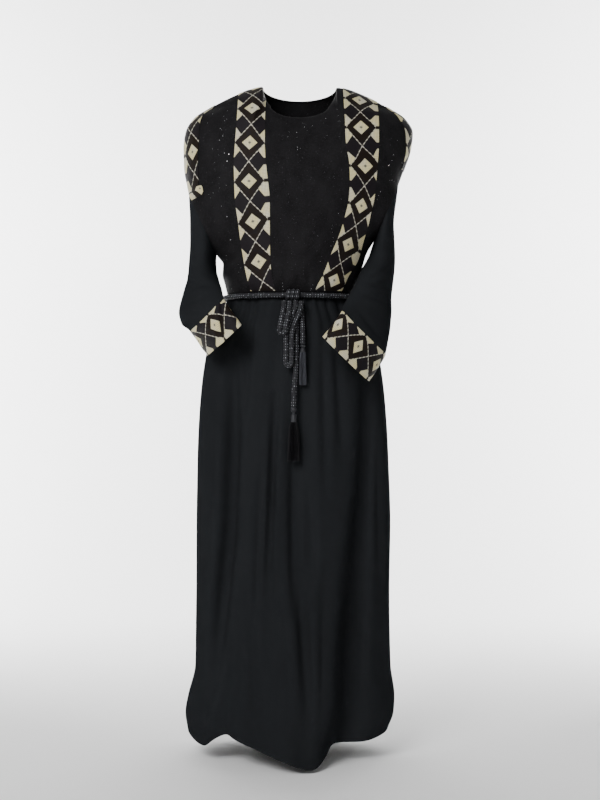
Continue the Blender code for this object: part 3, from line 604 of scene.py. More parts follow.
# Soft troughs in the cloth seen from the front: from a place to a place, in metres
FRONT_CREASES = table(
    "x       z       to_x    to_z    width   deep",
    (-0.060, -0.430, -0.035, -0.385, 0.0060, 0.0016),
    (-0.030, -0.432, -0.022, -0.372, 0.0050, 0.0014),
    (0.004, -0.432, 0.002, -0.390, 0.0050, 0.0016),
    (0.026, -0.432, 0.022, -0.380, 0.0055, 0.0014),
    (0.048, -0.432, 0.036, -0.395, 0.0050, 0.0012),
    (-0.098, -0.430, -0.118, -0.380, 0.0060, 0.0016),
    (0.098, -0.430, 0.112, -0.372, 0.0060, 0.0014),
    (-0.165, -0.262, -0.128, -0.300, 0.0090, 0.0024),
    (-0.172, -0.240, -0.140, -0.262, 0.0080, 0.0018),
    (0.165, -0.250, 0.132, -0.292, 0.0090, 0.0022),
)
BACK_CREASES = table(
    "x       z       to_x    to_z    width   deep",
    (-0.080, -0.432, -0.070, -0.370, 0.0060, 0.0018),
    (-0.045, -0.432, -0.036, -0.352, 0.0060, 0.0020),
    (-0.012, -0.432, -0.010, -0.380, 0.0050, 0.0016),
    (0.020, -0.432, 0.012, -0.350, 0.0060, 0.0020),
    (0.056, -0.432, 0.050, -0.376, 0.0060, 0.0016),
    (-0.120, -0.120, -0.060, -0.200, 0.0180, 0.0030),
    (0.120, -0.115, 0.070, -0.190, 0.0180, 0.0030),
    (-0.150, -0.290, -0.100, -0.330, 0.0110, 0.0026),
    (0.140, -0.280, 0.092, -0.326, 0.0110, 0.0026),
)
SLEEVE_CREASES = table(
    "x       z       to_x    to_z    width   deep",
    (-0.234, -0.400, -0.176, -0.418, 0.0065, 0.0030),
    (-0.236, -0.432, -0.180, -0.412, 0.0060, 0.0026),
    (-0.232, -0.456, -0.190, -0.436, 0.0060, 0.0020),
    (-0.222, -0.340, -0.190, -0.372, 0.0080, 0.0022),
    (-0.206, -0.300, -0.196, -0.352, 0.0080, 0.0020),
    (-0.1490, -0.448, -0.1480, -0.545, 0.0042, 0.0060),
    (0.200, -0.380, 0.140, -0.402, 0.0065, 0.0028),
    (0.198, -0.420, 0.136, -0.412, 0.0060, 0.0028),
    (0.192, -0.452, 0.130, -0.436, 0.0060, 0.0022),
    (0.200, -0.320, 0.168, -0.356, 0.0080, 0.0022),
    (0.172, -0.532, 0.120, -0.466, 0.0060, 0.0016),
)
SKIRT_FRONT_CREASES = table(
    "x       z       to_x    to_z    width   deep",
    (-0.124, -0.580, -0.134, -0.960, 0.012, 0.0110),
    (-0.132, -0.880, -0.164, -1.180, 0.013, 0.0110),
    (-0.042, -0.640, -0.060, -1.040, 0.0065, 0.0085),
    (-0.070, -0.760, -0.086, -1.160, 0.009, 0.0050),
    (-0.008, -0.700, -0.006, -1.080, 0.009, 0.0075),
    (0.004, -1.000, 0.026, -1.290, 0.010, 0.0085),
    (0.150, -0.520, 0.126, -0.960, 0.012, 0.0100),
    (0.124, -0.860, 0.104, -1.330, 0.014, 0.0110),
    (-0.094, -0.480, -0.106, -0.700, 0.008, 0.0050),
    (-0.100, -1.040, -0.080, -1.310, 0.011, 0.0056),
    (0.052, -0.500, 0.058, -0.840, 0.008, 0.0046),
    (0.080, -0.540, 0.092, -0.760, 0.008, 0.0040),
    (0.056, -0.980, 0.048, -1.330, 0.010, 0.0056),
    (0.164, -0.660, 0.168, -1.060, 0.009, 0.0060),
    (-0.176, -0.640, -0.184, -1.020, 0.009, 0.0050),
    (0.026, -0.820, 0.034, -1.020, 0.008, 0.0036),
)
SKIRT_BACK_CREASES = table(
    "x       z       to_x    to_z    width   deep",
    (-0.120, -0.520, -0.140, -0.800, 0.011, 0.0026),
    (-0.060, -0.560, -0.070, -0.960, 0.012, 0.0030),
    (0.020, -0.520, 0.036, -0.860, 0.011, 0.0026),
    (0.090, -0.560, 0.112, -1.000, 0.012, 0.0034),
    (-0.020, -0.940, -0.034, -1.320, 0.013, 0.0034),
    (0.140, -0.900, 0.150, -1.300, 0.012, 0.0036),
    (-0.160, -1.000, -0.172, -1.300, 0.012, 0.0034),
)


# Beside a trough the cloth rises a little: its share of the depth, and how many widths away
CREASE_RISE, CREASE_RISE_AT = 0.35, 2.1
# A trough fades toward its ends, and as the cloth turns to its side
CREASE_END, CREASE_FADE, CREASE_TURN = 0.04, 0.7, 1.6
SWELLS = 7


def creased(grid, normals, creases, facing):
    """The grid with soft troughs pressed into the side that faces -Y (-1) or +Y (1)."""
    place = grid[..., [0, 2]]
    dip = np.zeros(grid.shape[:2])
    for x, z, to_x, to_z, width, deep in zip(*creases.values()):
        start, way = np.array([x, z]), np.array([to_x - x, to_z - z])
        share = ((place - start) @ way) / (way @ way)
        nearest = start + np.clip(share, 0, 1)[..., None] * way
        apart = np.linalg.norm(place - nearest, axis=-1) / width
        fade = np.sin(np.pi * np.clip(share, CREASE_END, 1 - CREASE_END)) ** CREASE_FADE
        rise = CREASE_RISE * np.exp(-((apart - CREASE_RISE_AT) ** 2))
        dip += deep * fade * (np.exp(-(apart**2)) - rise)
    seen = np.clip(facing * normals[..., 1] * CREASE_TURN, 0, 1)
    return grid - normals * (dip * seen)[..., None]


def uneven(grid, normals, size, height, seed):
    """The grid with a slow unevenness, as cloth that has been worn has."""
    wave = np.random.default_rng(seed)
    rise = np.zeros(grid.shape[:2])
    for _ in range(SWELLS):
        way = unit(wave.normal(size=3)) * 2 * np.pi / (size * wave.uniform(0.7, 1.6))
        rise += np.sin(grid @ way + wave.uniform(0, 2 * np.pi))
    return grid + normals * (rise * height / SWELLS)[..., None]


# How uneven the worn cloth lies: the size of a swell, its height and the seed of the draw
BODICE_WEAR = (0.09, 0.0012, 9)
SKIRT_WEAR = (0.16, 0.0020, 3)
SLEEVE_WEAR = (0.07, 0.0016, 5)
PANELS = {}


def keep_panel(name, grid, creases, facing, wear, hold):
    """Crease a panel, with its side edges left where its neighbour's are, and keep it by name."""
    up = normals_of(grid)
    edge = np.sin(np.pi * np.linspace(0, 1, grid.shape[1])) ** hold
    changed = uneven(creased(grid, up, creases, facing), up, *wear)
    changed = grid + (changed - grid) * edge[:, None]
    PANELS[name] = changed, normals_of(changed)


def panels():
    """Each panel's grid and normals, worked out once: front, back, sleeves and skirt."""
    if PANELS:
        return PANELS
    ranks = bodice_ranks()
    front, back = bodice_front(ranks), bodice_back(ranks)
    ring_rows = np.flatnonzero((ranks >= 1 - TINY) & (ranks <= 2 + TINY))
    columns = {"right": (0, -1), "left": (-1, 0)}
    for side, (fore, aft) in columns.items():
        ring = np.concatenate([front[ring_rows, fore], back[ring_rows[-2:0:-1], aft]])
        rings = sleeve_grid(side, ring)
        up = normals_of(rings, ring=True)
        rings = uneven(creased(rings, up, SLEEVE_CREASES, -1), up, *SLEEVE_WEAR)
        rings[0] = ring
        PANELS[f"sleeve_{side}"] = rings, normals_of(rings, ring=True)
    keep_panel("bodice_front", front, FRONT_CREASES, -1, BODICE_WEAR, 0.3)
    keep_panel("bodice_back", back, BACK_CREASES, 1, BODICE_WEAR, 0.3)
    for fore, aft in columns.values():
        for rows in (ranks <= 1 + TINY, ranks >= 2 - TINY):
            front_up, back_up = PANELS["bodice_front"][1], PANELS["bodice_back"][1]
            shared = unit(front_up[rows, fore] + back_up[rows, aft])
            front_up[rows, fore] = back_up[rows, aft] = shared
    keep_panel("skirt_front", skirt_half(-90, 90, FRONT_FOLDS), SKIRT_FRONT_CREASES, -1, SKIRT_WEAR, 0.25)
    keep_panel("skirt_back", skirt_half(90, 270, BACK_FOLDS), SKIRT_BACK_CREASES, 1, SKIRT_WEAR, 0.25)
    return PANELS


SOCKETS = {"metallic": "Metallic", "specular": "Specular IOR Level"}


class Value:
    """A number on a finish's shader nodes; arithmetic with it adds nodes."""

    def __init__(self, finish, socket):
        self.finish, self.socket = finish, socket

    def maths(self, operation, other=0.0):
        return self.finish.maths(operation, self, other)

    def ramp(self, low, high, at_low, at_high):
        """The value moved from one range to another, and held to its ends."""
        inputs = {0: self, 1: low, 2: high, 3: at_low, 4: at_high}
        return self.finish.node("ShaderNodeMapRange", inputs)

    def __add__(self, other):
        return self.maths("ADD", other)

    def __sub__(self, other):
        return self.maths("SUBTRACT", other)

    def __rsub__(self, other):
        return self.finish.maths("SUBTRACT", other, self)

    def __mul__(self, other):
        return self.maths("MULTIPLY", other)

    def __abs__(self):
        return self.maths("ABSOLUTE")


class Finish:
    """A material on the Principled shader, built up node by node."""

    def __init__(self, name, roughness, **constants):
        self.material = bpy.data.materials.new(name)
        self.material.use_nodes = True
        self.tree = self.material.node_tree
        self.shader = self.tree.nodes["Principled BSDF"]
        self.shader.inputs["Roughness"].default_value = roughness
        for socket, value in constants.items():
            self.shader.inputs[SOCKETS[socket]].default_value = value

    def node(self, kind, inputs=(), output=0, **settings):
        made = self.tree.nodes.new(kind)
        for name, value in settings.items():
            setattr(made, name, value)
        for name, value in dict(inputs).items():
            if isinstance(value, Value):
                self.tree.links.new(value.socket, made.inputs[name])
            else:
                made.inputs[name].default_value = value
        return Value(self, made.outputs[output])

    def maths(self, operation, first, second=0.0):
        return self.node("ShaderNodeMath", {0: first, 1: second}, operation=operation)

    def mix(self, share, first, second):
        inputs = {"Factor": share, 6: first, 7: second}
        return self.node("ShaderNodeMix", inputs, output=2, data_type="RGBA")

    def shades(self, share, colour, dark, light):
        """From a darker to a lighter shade of a colour."""
        return self.mix(share, times(colour, dark), times(colour, light))

    def noise(self, place, scale, detail):
        inputs = {"Scale": scale, "Detail": detail}
        if place is not None:
            inputs["Vector"] = place
        return self.node("ShaderNodeTexNoise", inputs)

    def flat(self, scale=(1, 1, 1)):
        """Places on the flat cloth, times a scale."""
        place = self.node("ShaderNodeUVMap", uv_map="flat")
        return self.node("ShaderNodeMapping", {"Vector": place, "Scale": scale})

    def across_and_down(self):
        """The two parts of a place on the flat cloth."""
        first = self.node("ShaderNodeSeparateXYZ", {0: self.flat()})
        return first, Value(self, first.socket.node.outputs[1])

    def colour(self, value):
        self.tree.links.new(value.socket, self.shader.inputs["Base Color"])

    def bump(self, height, distance, strength=1.0):
        inputs = {"Height": height, "Distance": distance, "Strength": strength}
        made = self.node("ShaderNodeBump", inputs)
        self.tree.links.new(made.socket, self.shader.inputs["Normal"])


def times(colour, factor=1.0):
    """A colour with all its parts times a factor, and alpha 1."""
    return (*(np.array(colour) * factor), 1)


def crepe_finish(settings):
    """Matte crepe: a fine pebbled grain with a little twist to it."""
    made = Finish("Black crepe", 0.9, specular=0.0)
    grain = made.noise(made.flat((settings.crepe_grain, settings.crepe_grain * 0.55, 1)), 1.0, 3.0)
    cloud = made.noise(made.flat((7, 2.5, 1)), 1.0, 3.0).ramp(0.34, 0.66, 0.0, 1.0)
    base = made.shades(cloud, settings.crepe_colour, 0.80, 1.2)
    made.colour(made.mix(grain, base, times(settings.crepe_colour, 1.3)))
    made.bump(grain, 0.0006, 0.7)
    return made.material


def sequin_finish(settings):
    """Black cloth sewn all over with tiny dark sequins; the glints of the few that catch the light are
    painted in as light specks.
    """
    made = Finish("Sequinned black cloth", 0.7, specular=0.04)
    scale = 1 / settings.sequin_size
    tints = made.node("ShaderNodeTexVoronoi", {"Vector": made.flat(), "Scale": scale}, output=1)
    chance = made.node("ShaderNodeSeparateColor", {"Color": tints})
    # Painted glints: a rare few sequins are lightened toward pale grey, standing in for the light they catch
    bright = chance.ramp(0.988, 1.0, 0.0, 0.5)
    faint = chance.ramp(0.3, 1.0, 0.0, 0.5)
    cloud = made.noise(made.flat((26, 20, 1)), 1.0, 4.0).ramp(0.36, 0.66, 0.0, 1.0)
    base = made.shades(cloud, settings.sequin_colour, 0.84, 1.34)
    dark = made.mix(faint, base, times(settings.sequin_colour, 1.9))
    made.colour(made.mix(bright, dark, times((0.05, 0.05, 0.055))))
    apart = made.node("ShaderNodeTexVoronoi", {"Vector": made.flat(), "Scale": scale})
    made.bump(apart, 0.0005, 0.5)
    return made.material


def ribbon_finish(settings):
    """Woven ribbon: a light lattice, squares and triangles on brown-black, by width and repeat."""
    made = Finish("Woven ribbon", 0.6, specular=0.12)
    across, down = made.across_and_down()
    beside = abs(across - 0.5)
    above = abs(down.maths("FRACT") - 0.5)
    held = beside.maths("MINIMUM", 0.5)
    large = held * 0.96 + above

    lattice = abs(large - 0.5).ramp(0.012, 0.024, 1.0, 0.0) * beside.ramp(0.49, 0.51, 1.0, 0.0)
    dashes = (down * (DASHES * math.pi)).maths("SINE")
    line = lattice * dashes.ramp(-0.6, 0.2, 0.35, 1.0)
    square = beside * settings.diamond_width + above * settings.ribbon_repeat
    reach = settings.ribbon_square
    inner = square.ramp(reach - 0.0006, reach + 0.0006, 1.0, 0.0)
    dot = square.ramp(0.0022, 0.0044, 1.0, 0.0)
    outside = large.ramp(0.5, 0.512, 0.0, 1.0)
    beyond = (abs(held - 0.25) + abs(above - 0.5)).ramp(0.335, 0.355, 0.0, 1.0)
    corner = beside.ramp(0.27, 0.29, 0.0, 1.0) * above.ramp(0.035, 0.05, 0.0, 1.0)
    filled = (inner - dot * 0.8).maths("MAXIMUM", outside * beyond * corner)
    light = line.maths("MAXIMUM", filled)

    rows = settings.ribbon_stitches
    stitch_u = abs((across * (rows * math.pi)).maths("SINE"))
    stitch_v = abs((down * (rows * 1.35 * math.pi)).maths("SINE"))
    stitch = (stitch_u * stitch_v).maths("POWER", 0.5)
    hue = made.noise(made.flat((1.2, 0.9, 1)), 1.6, 2.0)
    golden = hue.ramp(0.36, 0.56, 0.15, 1.0) * filled
    yarn = made.mix(golden, times(settings.ribbon_light), times(settings.ribbon_gold))
    yarn = made.mix(stitch.ramp(0.1, 0.7, 0.3, 1.0), times(settings.ribbon_gold, 0.25), yarn)
    tint = made.noise(made.flat((3, 3, 1)), 2.0, 1.0).ramp(0.52, 0.68, 0.0, 0.6)
    dark = (outside * 0.8).maths("MAXIMUM", tint)
    ground = made.mix(dark, times(settings.ribbon_ground), times(settings.ribbon_side))
    made.colour(made.mix(light, ground, yarn))
    rib = (down * (rows * 6 * math.pi)).maths("SINE")
    made.bump(light * 0.8 + rib * 0.12 + stitch * 0.25, 0.0005, 0.8)
    return made.material


def braid_finish(settings):
    """Black braid with metal thread; where one set of strands passes over the other, the thread shows as a
    light fleck whose glint is painted in.
    """
    made = Finish("Black braid", 0.6, specular=0.12)
    across, down = made.across_and_down()
    turn = across * (BRAID_STRANDS / (math.pi * CORD))
    rise = down * (BRAID_STRANDS / 2 / BRAID_PITCH)
    one, two = turn + rise, turn - rise
    cell_one, cell_two = one.maths("FLOOR"), two.maths("FLOOR")
    under = (cell_one + cell_two).maths("FLOORED_MODULO", 2.0)
    off = abs(one.maths("FRACT") - 0.5) + abs(two.maths("FRACT") - 0.5) * 0.6
    place = made.node("ShaderNodeCombineXYZ", {"X": cell_one, "Y": cell_two})
    chance = made.node("ShaderNodeTexWhiteNoise", {"Vector": place})
    # Light flecks at the top of each crossing, at random strength: the metal thread, with its glint painted
    # into the colour
    thread_glint_fleck = off.ramp(0.14, 0.32, 1.0, 0.0) * (1.0 - under) * chance.ramp(0.25, 1.0, 0.03, 1.0)
    made.colour(made.mix(thread_glint_fleck, times(settings.braid_colour), times(settings.braid_glint)))
    return made.material


def thread_finish(settings):
    """The long tassel's black silky thread."""
    return speckled(Finish("Tassel thread", 0.6, specular=0.12), 900.0, settings.thread_colour, 0.6, 1.6)


def sheen_thread_finish(settings):
    """The short tassel's black thread, with its sheen painted in as a lighter grey."""
    made = Finish("Tassel thread, grey", 0.6, specular=0.12)
    return speckled(made, 900.0, settings.thread_painted_sheen, 0.6, 1.6)


def cap_finish(settings):
    """The dull grey metal thread wound round the tassels' heads."""
    return speckled(Finish("Tassel cap", 0.5, specular=0.3), 600.0, settings.cap_colour, 0.5, 1.5)


def stone_finish(settings):
    """Clear rhinestones with a foil back."""
    made = Finish("Rhinestone", 0.12, metallic=1.0, specular=0.8)
    tone = made.noise(None, 400.0, 0.0)
    made.colour(made.mix(tone, times((0.30, 0.31, 0.34)), times((0.80, 0.80, 0.82))))
    return made.material


def speckled(made, scale, colour, dark, light):
    """A finish in fine specks of a colour's darker and lighter shades."""
    made.colour(made.shades(made.noise(None, scale, 1.0), colour, dark, light))
    return made.material


def look(name, make, settings):
    """A material by name, made the first time it is asked for."""
    return bpy.data.materials.get(name) or make(settings)


def shade(name, description, default):
    return bpy.props.FloatVectorProperty(
        name=name, description=description, default=default, subtype="COLOR", min=0, max=1
    )


def extent(name, description, default, low, high):
    return bpy.props.FloatProperty(
        name=name, description=description, default=default, min=low, max=high, unit="LENGTH", precision=4
    )


def watts(name, description, default):
    return bpy.props.FloatProperty(name=name, description=description, default=default, min=0, unit="POWER")


class KaftanCloth(bpy.types.PropertyGroup):
    """Colours and grain of the kaftan's cloth."""

    crepe_colour: shade("Crepe", "Colour of the sleeves and the skirt", (0.0140, 0.0151, 0.0167))
    crepe_grain: bpy.props.FloatProperty(
        name="Crepe grain", description="Grains of the crepe to a metre", default=900.0, min=100, max=4000
    )
    sequin_colour: shade("Sequinned cloth", "Colour of the bodice", (0.0098, 0.0094, 0.0102))
    sequin_size: extent("Sequin", "Width of one of the small sequins", 0.0016, 0.0005, 0.01)
    cloth_thickness: extent("Thickness", "Thickness of the cloth", 0.0010, 0.0003, 0.003)


class KaftanTrim(bpy.types.PropertyGroup):
    """Sizes and colours of the ribbon, the braid, the tassels and the stones."""

    ribbon_light: shade("Ribbon, cream", "Colour of the light yarn", (0.66, 0.63, 0.54))
    ribbon_gold: shade("Ribbon, gold", "Colour of the light yarn where it turns golden", (0.74, 0.66, 0.36))
    ribbon_ground: shade("Ribbon, ground", "Colour inside the large diamonds", (0.011, 0.0068, 0.0048))
    ribbon_side: shade("Ribbon, sides", "Colour of the dark diamonds at the sides", (0.0100, 0.0083, 0.0112))
    ribbon_width: extent("Ribbon width", "Width of the whole ribbon", 0.070, 0.02, 0.15)
    diamond_width: extent("Diamond width", "Width of a large diamond on the ribbon", 0.060, 0.02, 0.15)
    ribbon_square: extent("Light square", "From a light square's middle to its corner", 0.0156, 0.004, 0.04)
    ribbon_repeat: extent("Ribbon repeat", "Length of one diamond along the ribbon", 0.081, 0.02, 0.2)
    cuff_repeat: extent("Cuff repeat", "Length of one diamond round a cuff", 0.0625, 0.02, 0.2)
    ribbon_stitches: bpy.props.FloatProperty(
        name="Stitches", description="Rows of stitches across a diamond", default=20, min=4, max=80
    )
    braid_colour: shade("Braid", "Colour of the belt's braid", (0.0205, 0.0210, 0.0235))
    # The light colour of the braid's flecks: its metal thread, with the glint painted in
    braid_glint: shade("Braid, metal thread", "Colour of the braid's metal thread", (0.44, 0.46, 0.50))
    thread_colour: shade("Tassels", "Colour of the tassels' thread", (0.0075, 0.0072, 0.0085))
    # The short tassel's thread is the same black as the long one's; this lighter grey is its sheen, painted
    # in
    thread_painted_sheen: shade("Short tassel", "Colour of the short tassel's thread", (0.052, 0.054, 0.064))
    cap_colour: shade("Tassel caps", "Colour of the thread round the tassels' heads", (0.025, 0.026, 0.030))
    stone_size: extent("Rhinestone", "Width of a rhinestone", 0.0022, 0.001, 0.01)
    stone_spacing: extent("Stone spacing", "About how far apart the rhinestones are", 0.034, 0.01, 0.2)


class KaftanStage(bpy.types.PropertyGroup):
    """The floor, the lights and the camera."""

    floor_colour: shade("Floor", "Colour of the floor and the backdrop", (0.93, 0.93, 0.93))
    floor_height: extent("Floor height", "Height of the floor", -1.381, -10, 10)
    key_power: watts("Key light", "Power of the soft light in front", 115.0)
    side_power: watts("Side lights", "Power of each tall light at the side", 3.0)
    wall_power: watts("Wall lights", "Power of each light on the backdrop", 260.0)
    world_strength: bpy.props.FloatProperty(
        name="Room light", description="Strength of the even light of the room", default=0.2, min=0
    )
    camera_distance: extent("Camera distance", "Distance from the camera to the kaftan", 3.0, 1, 20)


def groups():
    return bpy.context.scene.kaftan_cloth, bpy.context.scene.kaftan_trim


def cloth_shell(panel, nodes, finish, ring=False):
    """A panel's cloth in place of its solids."""
    thickness = groups()[0].cloth_thickness
    grid, up = panels()[panel]
    made = shell(f"{panel}_cloth", grid, up, -thickness, 0, metres_of(grid, ring), finish, ring)
    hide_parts(*nodes)
    return made


def front_columns():
    """The front's columns at which its ribbons start and end."""
    return np.concatenate([[0], np.cumsum(FRONT_COLUMNS)]) * COLUMN_STEPS


class KAFTAN_OT_bodice(bpy.types.Operator):
    """Make the front and the back of the bodice in sequinned cloth"""

    bl_idname = "kaftan.bodice"
    bl_label = "Bodice"
    bl_options = {"REGISTER", "UNDO"}

    def execute(self, context):
        finish = look("Sequinned black cloth", sequin_finish, groups()[0])
        for name, flat in (("bodice_front", (0.63, 0.51)), ("bodice_back", (0.57, 0.51))):
            made = cloth_shell(name, [name], finish)
        return {"FINISHED"}


class KAFTAN_OT_sleeves(bpy.types.Operator):
    """Make the two sleeves in crepe"""

    bl_idname = "kaftan.sleeves"
    bl_label = "Sleeves"
    bl_options = {"REGISTER", "UNDO"}

    def execute(self, context):
        finish = look("Black crepe", crepe_finish, groups()[0])
        for side, flat, area in (("right", (0.41, 0.39), 0.078), ("left", (0.39, 0.46), 0.097)):
            nodes = [f"sleeve_{side}_upper", f"sleeve_{side}_lower"]
            made = cloth_shell(f"sleeve_{side}", nodes, finish, ring=True)
        return {"FINISHED"}


class KAFTAN_OT_skirt(bpy.types.Operator):
    """Make the front and the back of the skirt in crepe, gathered at the waist"""

    bl_idname = "kaftan.skirt"
    bl_label = "Skirt"
    bl_options = {"REGISTER", "UNDO"}

    def execute(self, context):
        finish = look("Black crepe", crepe_finish, groups()[0])
        for name in ("skirt_front", "skirt_back"):
            made = cloth_shell(name, [name], finish)
        return {"FINISHED"}


# How far from the ribbon's edge at -X, or for the outer ones from the inner edge, the middles of
# the diamonds run, and the height of one of those middles
DIAMOND_RUNS = {"outer_right": 0.0066, "inner_right": 0.0300, "inner_left": 0.0325, "outer_left": 0.033}
DIAMOND_MIDDLES = {
    "outer_right": -0.2233, "inner_right": -0.2915, "inner_left": -0.2584, "outer_left": -0.128,
}
# How far the outer ribbons' diamonds lean toward the inner edge, and how stretched they lie
OUTER_LEANS = {"outer_right": (-0.116, 1.14), "outer_left": (0.0, 1.0)}
# Dashes of the lattice's lines to a diamond; the rows that the inner ribbons stop short of the waist
DASHES = 22
RIBBON_CLEAR = 6
RIBBON_LIFT = 0.0003
RIBBON_THICK = 0.0009
# Above this height the cloth turns over the shoulder
SHOULDER_BEND = -0.075
# How narrow the diamonds of the inner ribbon on the left lie, and how far they run to one side
WOVEN_TAPER = table(
    "z        width  shift",
    (-0.425, 0.80, -0.0040),
    (-0.340, 0.80, -0.0070),
    (-0.250, 0.82, -0.0045),
    (-0.165, 1.00, 0.0000),
    (0.010, 1.00, 0.0000),
)


def woven_place(points, side, middle, run, diamond):
    """Where on an inner ribbon each point lies: across, in diamonds, and how far down."""
    x, z = points[..., 0], points[..., 2]
    edge = {"right": "right_out", "left": "left_in"}[side]
    tapers = side == "left"

    def centre(height):
        shift = smooth(WOVEN_TAPER, "shift", height) if tapers else 0
        return smooth(INNER_RIBBONS, edge, height) + DIAMOND_RUNS[f"inner_{side}"] + shift

    step = 0.01
    lean = (centre(z + step) - centre(z - step)) / (2 * step)
    square_on = np.sqrt(1 + lean**2)
    beside = x - centre(z)
    level = np.interp(-z, -middle[:, 2], run)
    # On top of the shoulder the height hardly changes, so from there up the cloth's own length counts
    start = np.interp(-SHOULDER_BEND, -middle[:, 2], run)
    for j in range(points.shape[1]):
        length = run_of(points[:, j])
        above = start + length - np.interp(-SHOULDER_BEND, -z[:, j], length)
        level[:, j] = np.where(z[:, j] > SHOULDER_BEND, above, level[:, j])
    width = diamond * (smooth(WOVEN_TAPER, "width", z) if tapers else 1)
    return 0.5 + beside / square_on / width, level - beside * lean / square_on


def band(name, points, normals, flat, ring=False):
    """A ribbon on the cloth, in place of its solid."""
    finish = look("Woven ribbon", ribbon_finish, groups()[1])
    low, high = RIBBON_LIFT, RIBBON_LIFT + RIBBON_THICK
    made = shell(f"{name}_band", points, normals, low, high, flat, finish, ring)
    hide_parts(name)
    return made


class KAFTAN_OT_ribbons(bpy.types.Operator):
    """Lay the four ribbons on the front of the bodice"""

    bl_idname = "kaftan.ribbons"
    bl_label = "Ribbons"
    bl_options = {"REGISTER", "UNDO"}

    def execute(self, context):
        _, trim = groups()
        stops, ranks = front_columns(), bodice_ranks()
        grid, up = panels()["bodice_front"]
        for place, side, stop in RIBBON_STRIPS:
            name = f"{place}_{side}"
            last = len(ranks) - RIBBON_CLEAR
            if place == "outer":
                last = int(np.argmin(np.abs(ranks - OUTER_END[side]))) + 1
            part = slice(0, last), slice(stops[stop], stops[stop + 1] + 1)
            points = grid[part]
            middle = points[:, points.shape[1] // 2]
            run, wide = run_of(middle), across_of(points)
            at = np.interp(-DIAMOND_MIDDLES[name], -middle[:, 2], run)
            if place == "inner":
                u, down = woven_place(points, side, middle, run, trim.diamond_width)
            else:
                from_edge = wide[:, -1:] - wide if side == "right" else wide
                lean, stretch = OUTER_LEANS[name]
                centre = DIAMOND_RUNS[name] + lean * (run - at)[:, None]
                u = 0.5 + (from_edge - centre) / trim.diamond_width
                down = at + (run[:, None] - at) / stretch - lean * (from_edge - centre)
            flat = np.stack([u, (down - at) / trim.ribbon_repeat + 0.5], axis=-1)
            made = band(f"ribbon_{name}", points, up[part], flat)
        return {"FINISHED"}


# Where round each cuff its diamonds start, in diamonds
CUFF_SHIFTS = {"right": 0.30, "left": 0.24}


class KAFTAN_OT_cuffs(bpy.types.Operator):
    """Lay a ribbon round the end of each sleeve"""

    bl_idname = "kaftan.cuffs"
    bl_label = "Cuffs"
    bl_options = {"REGISTER", "UNDO"}

    def execute(self, context):
        _, trim = groups()
        for side, shift in CUFF_SHIFTS.items():
            points, normals = (part[SLEEVE_ROWS:] for part in panels()[f"sleeve_{side}"])
            closed = np.concatenate([points, points[:, :1]], axis=1)
            run = run_of(closed[len(closed) // 2])
            repeats = round(run[-1] / trim.cuff_repeat)
            reach = np.linspace(-0.5, 0.5, len(points)) * trim.ribbon_width / trim.diamond_width
            down = run / run[-1] * repeats + shift
            flat = np.stack(np.meshgrid(0.5 + reach, down, indexing="ij"), axis=-1)
            made = band(f"cuff_{side}", points, normals, flat, ring=True)
        return {"FINISHED"}


# The braid: its strands each way, the length of their turn, and how deep it is between them
BRAID_SIDES = 32
BRAID_STEP = 0.0008
BRAID_STRANDS = 7
BRAID_PITCH = 0.019
BRAID_RELIEF = 0.00075
# The threads of the long and the short tassel, and how thick they are
STRAND_COUNTS = (230, 110)
STRAND_SIZES = (0.00042, 0.00034)
STRAND_LEVELS = 9
GOLDEN_ANGLE = 2.399963
# Threads start within this share of the head, flare out early and lie flatter toward their tips
STRAND_ROOT, STRAND_FLARE, STRAND_FLATTEN = 0.86, 0.4, 0.45
# How much they differ in length, sway and wave
STRAND_LOOSE, STRAND_SWAY, STRAND_WAVE = 0.0035, 0.0008, 0.0003
# How far a hanging cord starts below the knot and lies off the skirt, and one cord off another
CORD_BELOW, CORD_LIFT, CORD_APART = 0.0012, 0.0009, 0.0005
# A cord runs to one side from this far below its top, over this length
CORD_STRAIGHT, CORD_SWING = 0.004, 0.065
BELT_LIFT = 0.0008
BELT_POINTS = 400
# The bow's loops: side, where its two cords leave the knot and hang, how low, and their layer
NEAR, FAR = CORD / 2 + 2 * GAP, CORD * 3 / 2 + 4 * GAP
BOW_LOOPS = (
    ("right", (KNOT_X - FAR, KNOT_X - NEAR), (-0.0350, -0.0240), -0.5120, 2),
    ("left", (KNOT_X + NEAR, KNOT_X + FAR), (-0.0216, -0.0105), -0.5760, 1),
)
LOOP_STEPS = 30
# The knot's wraps: how far apart, in cords, and how far each leans to one side
WRAP_STEP, WRAP_LEAN = 0.82, 0.0012
# The hanging ends: name, where each leaves the knot and hangs, and its steps
TAILS = (("long", KNOT_X + 0.0060, -0.0005, 60), ("short", KNOT_X + 0.0175, 0.0118, 40))
# From this share of its length on an end eases over to the middle of its tassel
TAIL_EASE = 0.45


def frames_along(points):
    """Two directions square to a route at each of its points, turning as little as they can."""
    way = unit(np.gradient(points, axis=0))
    first = unit(np.cross(way[0], [0.31, 0.95, 0.05]))
    sides = [first]
    for direction in way[1:]:
        turned = sides[-1] - direction * (sides[-1] @ direction)
        sides.append(unit(turned))
    sides = np.array(sides)
    return sides, np.cross(way, sides)


def rounded_route(points, spacing):
    """A route with its corners smoothed, and points this far apart."""
    fine = along(points, np.linspace(0, run_of(points)[-1], max(8, int(run_of(points)[-1] / spacing))))
    for _ in range(6):
        fine[1:-1] = (fine[:-2] + 2 * fine[1:-1] + fine[2:]) / 4
    return fine


